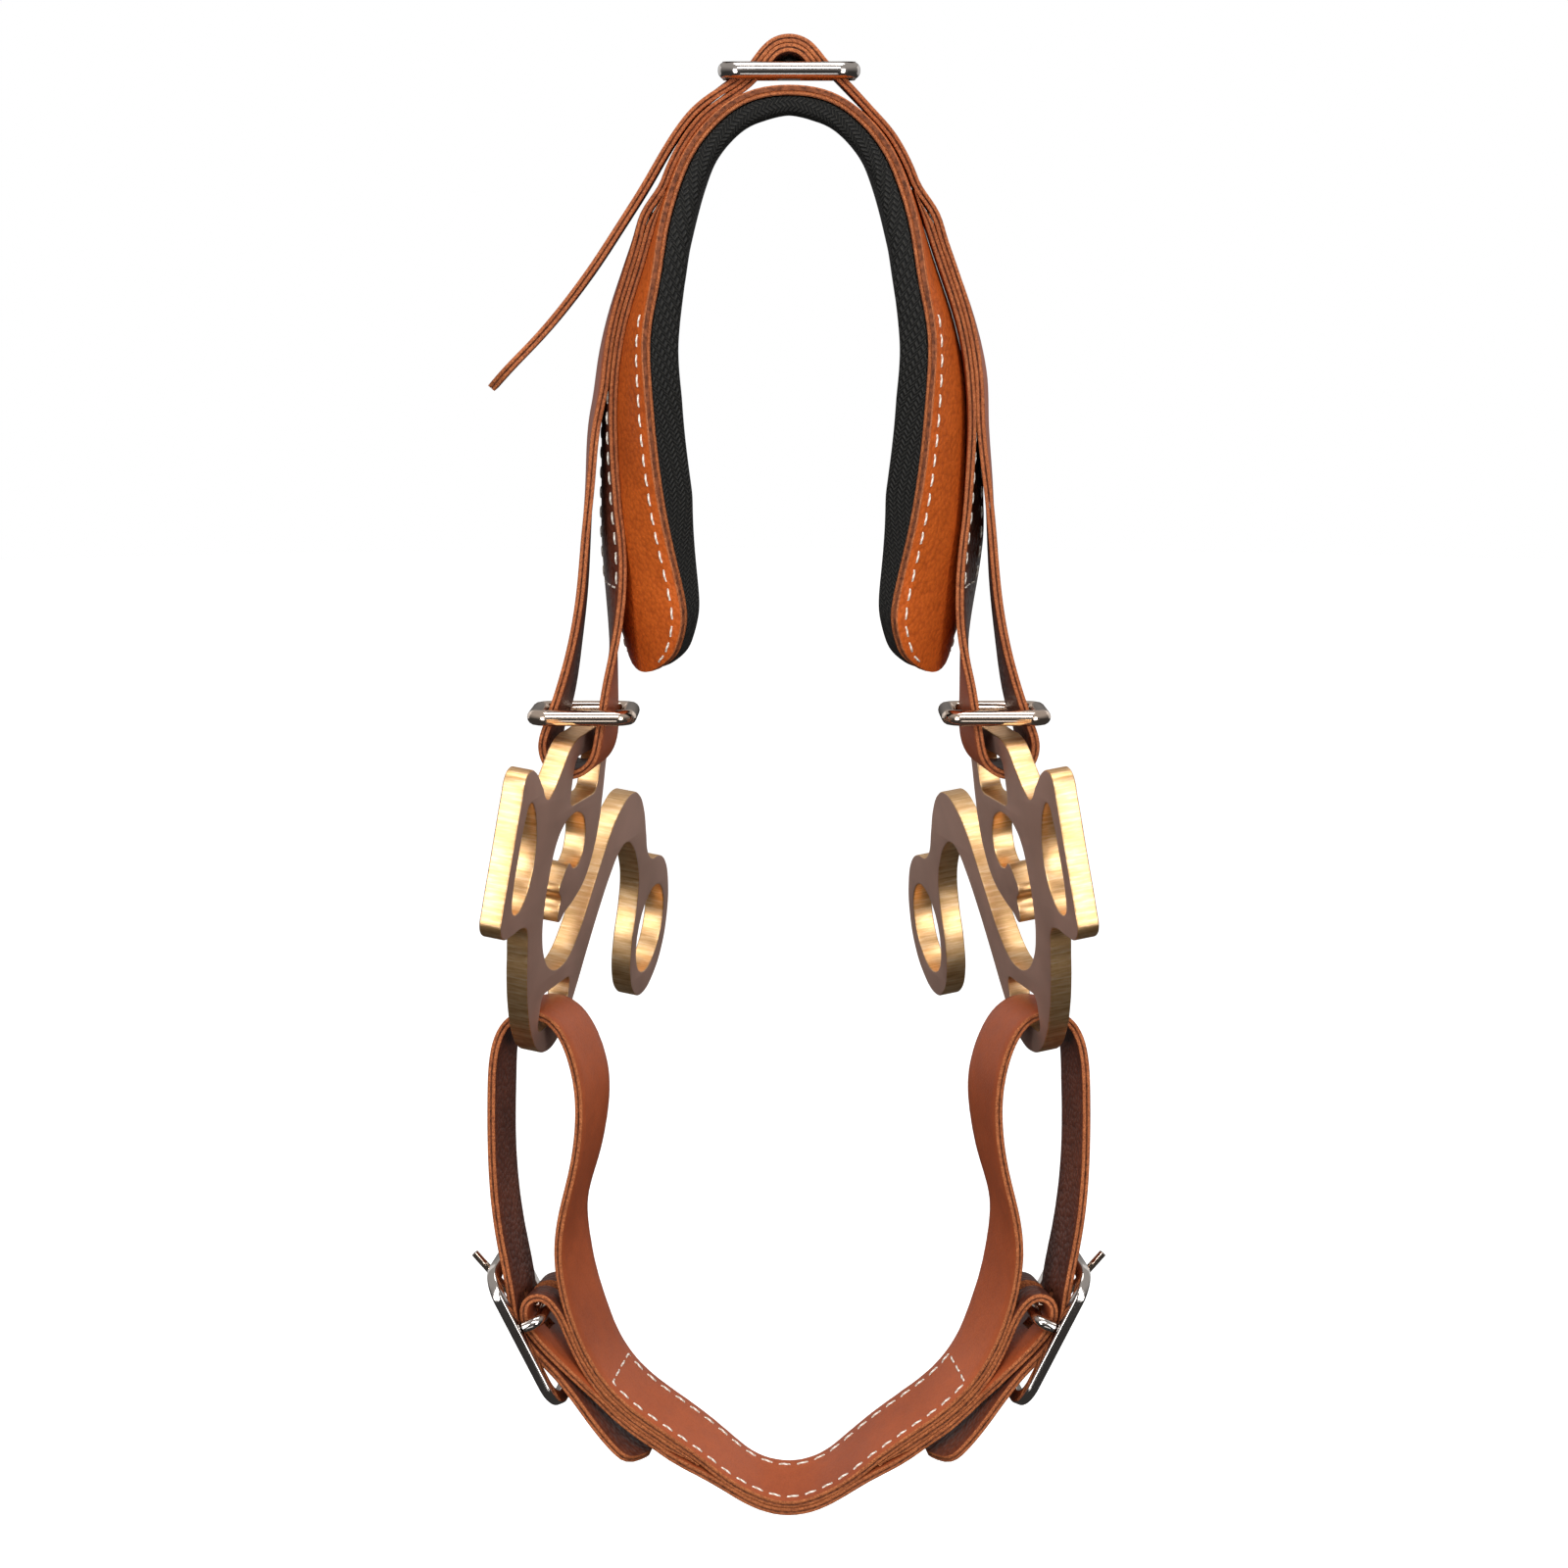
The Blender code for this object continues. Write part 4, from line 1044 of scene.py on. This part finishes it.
def flat_metal(name, smooth_loops, poly_loops, thickness, rounding, kind):
    """A flat piece from closed outlines, its edges rounded."""
    curve = bpy.data.curves.new(name, "CURVE")
    curve.dimensions = "2D"
    curve.fill_mode = "BOTH"
    curve.resolution_u = 8
    curve.bevel_depth = rounding * MM
    curve.bevel_resolution = 5
    curve.offset = -rounding * MM
    curve.extrude = (thickness / 2.0 - rounding) * MM
    for points in smooth_loops:
        spline = curve.splines.new("BEZIER")
        spline.use_cyclic_u = True
        spline.bezier_points.add(len(points) - 1)
        for bezier, (u, v) in zip(spline.bezier_points, points):
            bezier.co = (u * MM, v * MM, 0.0)
            bezier.handle_left_type = "AUTO"
            bezier.handle_right_type = "AUTO"
    for points in poly_loops:
        add_poly(curve, [(u, v, 0.0) for u, v in points], True)
    return solid_of(curve, kind, 40, smooth_all=False)


def add_poly(curve, points, closed):
    spline = curve.splines.new("POLY")
    spline.use_cyclic_u = closed
    spline.points.add(len(points) - 1)
    for point, spot in zip(spline.points, points):
        point.co = (*(Vector(spot) * MM), 1.0)


def wire(name, points, radius, closed, kind):
    """A round wire through the points."""
    curve = bpy.data.curves.new(name, "CURVE")
    curve.dimensions = "3D"
    curve.bevel_depth = radius * MM
    curve.bevel_resolution = 6
    curve.use_fill_caps = not closed
    add_poly(curve, points, closed)
    return solid_of(curve, kind, 50)


def make_cheek_plate(side, ending):
    def shifted(points):
        return [(u - EYE_BAR[0], v - EYE_BAR[1]) for u, v in points]

    smooth_hole, poly_holes = plate_holes()
    name = "cheek_plate_" + ending
    smooth_loops = [shifted(plate_outline()), shifted(smooth_hole)]
    poly_loops = [shifted(loop) for loop in poly_holes]
    mesh = flat_metal(name, smooth_loops, poly_loops, PLATE_THICKNESS, 0.35, "plate")
    along = Vector((math.sin(PLATE_YAW), math.cos(PLATE_YAW), 0.0))
    inboard = Vector((math.cos(PLATE_YAW), -math.sin(PLATE_YAW), 0.0))
    up = Vector((0, 0, 1)) * math.cos(PLATE_LEAN) + inboard * math.sin(PLATE_LEAN)
    normal = along.cross(up).normalized()
    centre = PLATE_ORIGIN + along * EYE_BAR[0] + up * EYE_BAR[1] - normal * PLATE_THICKNESS / 2.0
    flip = Vector((side, 1.0, 1.0))
    matrix = axes_matrix(centre * flip, along * flip, up * flip)
    new_piece(name + "_metal", mesh, "cheek_" + ending, "brass", name, matrix=matrix)


def make_top_slide():
    slots = [rounded_box(5.35, 10.8, 1.5, steps=6, centre=(sign * 9.05, 0.0)) for sign in (-1, 1)]
    mesh = flat_metal("top_slide", [], [rounded_box(17.4, 14.4, 6.0, steps=14)] + slots, 4.2, 1.9, "nickel")
    matrix = axes_matrix(Vector((0, 0, TOP_SLIDE_Z)), Vector((1, 0, 0)), Vector((0, 1, 0)))
    new_piece("top_slide_metal", mesh, "noseband", "nickel", "top_slide", matrix=matrix)


def make_keeper(side, ending):
    name = "keeper_" + ending
    points = [(x, y, 0.0) for x, y in rounded_box(11.8, 13.1, 3.6, steps=10)]
    mesh = wire(name, points, 2.0, True, "warm_nickel")
    across = Vector((0, math.cos(KEEPER_TILT), math.sin(KEEPER_TILT)))
    matrix = axes_matrix(Vector((side * 52.1, 0.0, KEEPER_Z)), Vector((1, 0, 0)), across)
    new_piece(name + "_metal", mesh, "keeper_ring_" + ending, "nickel", name, matrix=matrix)


def make_buckle(side, ending):
    """Frame, bar and tongue. along, across and inward are the frame's length, width and way to the jaw."""
    flip = Vector((side, 1.0, 1.0))
    along = Vector((math.cos(BUCKLE_SLOPE), 0.0, -math.sin(BUCKLE_SLOPE)))
    across = Vector((BUCKLE_YAW, math.sqrt(1.0 - BUCKLE_YAW ** 2), 0.0))
    across = (across - along * across.dot(along)).normalized()
    inward = Vector((-along.z, 0.0, along.x))
    inward = (inward - across * inward.dot(across)).normalized()
    centre = Vector((BUCKLE_CENTRE[0], 0.0, BUCKLE_CENTRE[1]))
    bar = Vector((BUCKLE_BAR[0], 0.0, BUCKLE_BAR[1]))
    at_bar = Matrix.Translation(place(bar * flip))

    def add(part, mesh, body, matrix):
        node = f"buckle_{part}_{ending}"
        new_piece(node + "_metal", mesh, f"{body}_{ending}", "nickel", node, matrix=matrix)

    loops = [rounded_box(20.6, 14.4, 8.0, steps=12), rounded_box(17.0, 11.0, 4.6, steps=10)]
    frame_mesh = flat_metal("buckle_frame", [], loops, FRAME_THICKNESS - FRAME_SLIMMER, 0.7, "nickel")
    add("frame", frame_mesh, "buckle", axes_matrix(centre * flip, along * flip, across * flip))

    drop = (bar - centre).dot(inward) - FRAME_THICKNESS / 2.0 - 0.2
    lug = 12.4
    profile = [(-lug, drop), (-lug, 2.0), (-lug + 0.35, 1.1), (-lug + 1.1, 0.35), (-lug + 2.0, 0.0)]
    profile += [(-w, depth) for w, depth in reversed(profile)]
    points = [(across * w - inward * depth) * flip for w, depth in profile]
    add("bar", wire("buckle_bar", points, BAR_RADIUS, False, "nickel"), "buckle", at_bar)

    eye_radius = BAR_RADIUS + 0.3 + TONGUE_RADIUS
    turn = [Vector((math.cos(math.radians(a)), 0.0, math.sin(math.radians(a)))) * eye_radius
            for a in range(-60, 181, 12)]
    reach = [(-69.4, -138.7), (-70.4, -138.1), (-71.6, -137.1), (-72.5, -136.0), (-73.2, -134.9),
             (-77.6, -129.6), (-82.0, -124.4)]
    points = [p * flip for p in turn + [Vector((x, 0.0, z)) - bar for x, z in reach]]
    add("tongue", wire("buckle_tongue", points, TONGUE_RADIUS, False, "warm_nickel"), "tongue", at_bar)


# ---------------------------------------------------------------- studio

def area_light(name, spot, size, power):
    """A white panel at spot that faces the middle of the part."""
    data = bpy.data.lights.new(name, "AREA")
    data.shape = "RECTANGLE"
    data.size, data.size_y = size
    data.energy = power
    light = linked(name, data)
    light.location = spot
    light.rotation_mode = "QUATERNION"
    light.rotation_quaternion = (Vector(MIDDLE) - Vector(spot)).to_track_quat("-Z", "Y")


def make_floor():
    """A pale floor far below, which neither lights nor mirrors in the part."""
    bm = bmesh.new()
    bmesh.ops.create_circle(bm, cap_ends=True, segments=96, radius=4.0)
    mesh = mesh_of(bm, "floor")
    n = Nodes("floor_pale")
    colour = n.ramp(n.noise(3.0), ((0.3, (0.60, 0.60, 0.60)), (0.7, (0.64, 0.64, 0.64))))
    n.link(colour, n.shader.inputs["Emission Color"])
    mesh.materials.append(n.finish(colour, 0.9, Emission_Strength=1.35, Specular_IOR_Level=0.0))
    floor = linked("floor", mesh)
    floor.location = (0.0, 0.0, FLOOR_Z)
    floor.visible_diffuse = False
    floor.visible_glossy = False


def make_world():
    """White to the camera; to light and reflections a soft room, pale above the part and dark round it."""
    world = bpy.data.worlds.new("studio")
    bpy.context.scene.world = world
    world.use_nodes = True
    tree = world.node_tree
    tree.nodes.clear()
    kinds = ("OutputWorld", "Background", "Background", "TexCoord", "SeparateXYZ", "MapRange", "LightPath",
             "MixShader")
    output, seen, room, spot, split, rise, ray, mix = [tree.nodes.new("ShaderNode" + kind) for kind in kinds]
    seen.inputs["Color"].default_value = (1.0, 1.0, 1.0, 1.0)
    room.inputs["Color"].default_value = (1.0, 0.95, 0.91, 1.0)
    for socket, value in (("From Min", -0.15), ("From Max", 0.45), ("To Min", 0.05), ("To Max", 0.45)):
        rise.inputs[socket].default_value = value
    for source, target in ((spot.outputs["Generated"], split.inputs[0]),
                           (split.outputs[2], rise.inputs["Value"]),
                           (rise.outputs["Result"], room.inputs["Strength"]),
                           (ray.outputs["Is Camera Ray"], mix.inputs[0]), (room.outputs[0], mix.inputs[1]),
                           (seen.outputs[0], mix.inputs[2]), (mix.outputs[0], output.inputs[0])):
        tree.links.new(source, target)


def make_camera():
    data = bpy.data.cameras.new("camera")
    data.lens = CAMERA_LENS
    data.clip_start = 0.01
    data.clip_end = 50.0
    camera = linked("camera", data)
    camera.location = CAMERA_PLACE
    camera.rotation_euler = (math.radians(90) - CAMERA_PITCH, 0.0, 0.0)
    bpy.context.scene.camera = camera


def make_studio():
    area_light("key", (0.0, -1.3, 0.65), (1.0, 0.35), 12.5)
    for side, ending in ((-1, "left"), (1, "right")):
        area_light("front_" + ending, (side * 0.87, -1.25, -0.18), (0.4, 1.0), 10.5)
        area_light("back_" + ending, (side * 0.9, 1.1, 0.0), (0.9, 0.9), 1.4)
    area_light("low", (0.0, -1.1, -0.95), (0.5, 0.3), 0.7)
    area_light("top", (0.0, -0.1, 0.95), (0.8, 0.6), 7.0)
    make_world()
    make_floor()
    make_camera()
    bpy.context.scene.view_settings.view_transform = "Standard"


make_studio()
make_noseband()
make_chin_straps()
make_top_slide()
for flipped, end_name in ((1, "left"), (-1, "right")):
    make_cheek_plate(flipped, end_name)
    make_keeper(-flipped, end_name)
    make_buckle(flipped, end_name)
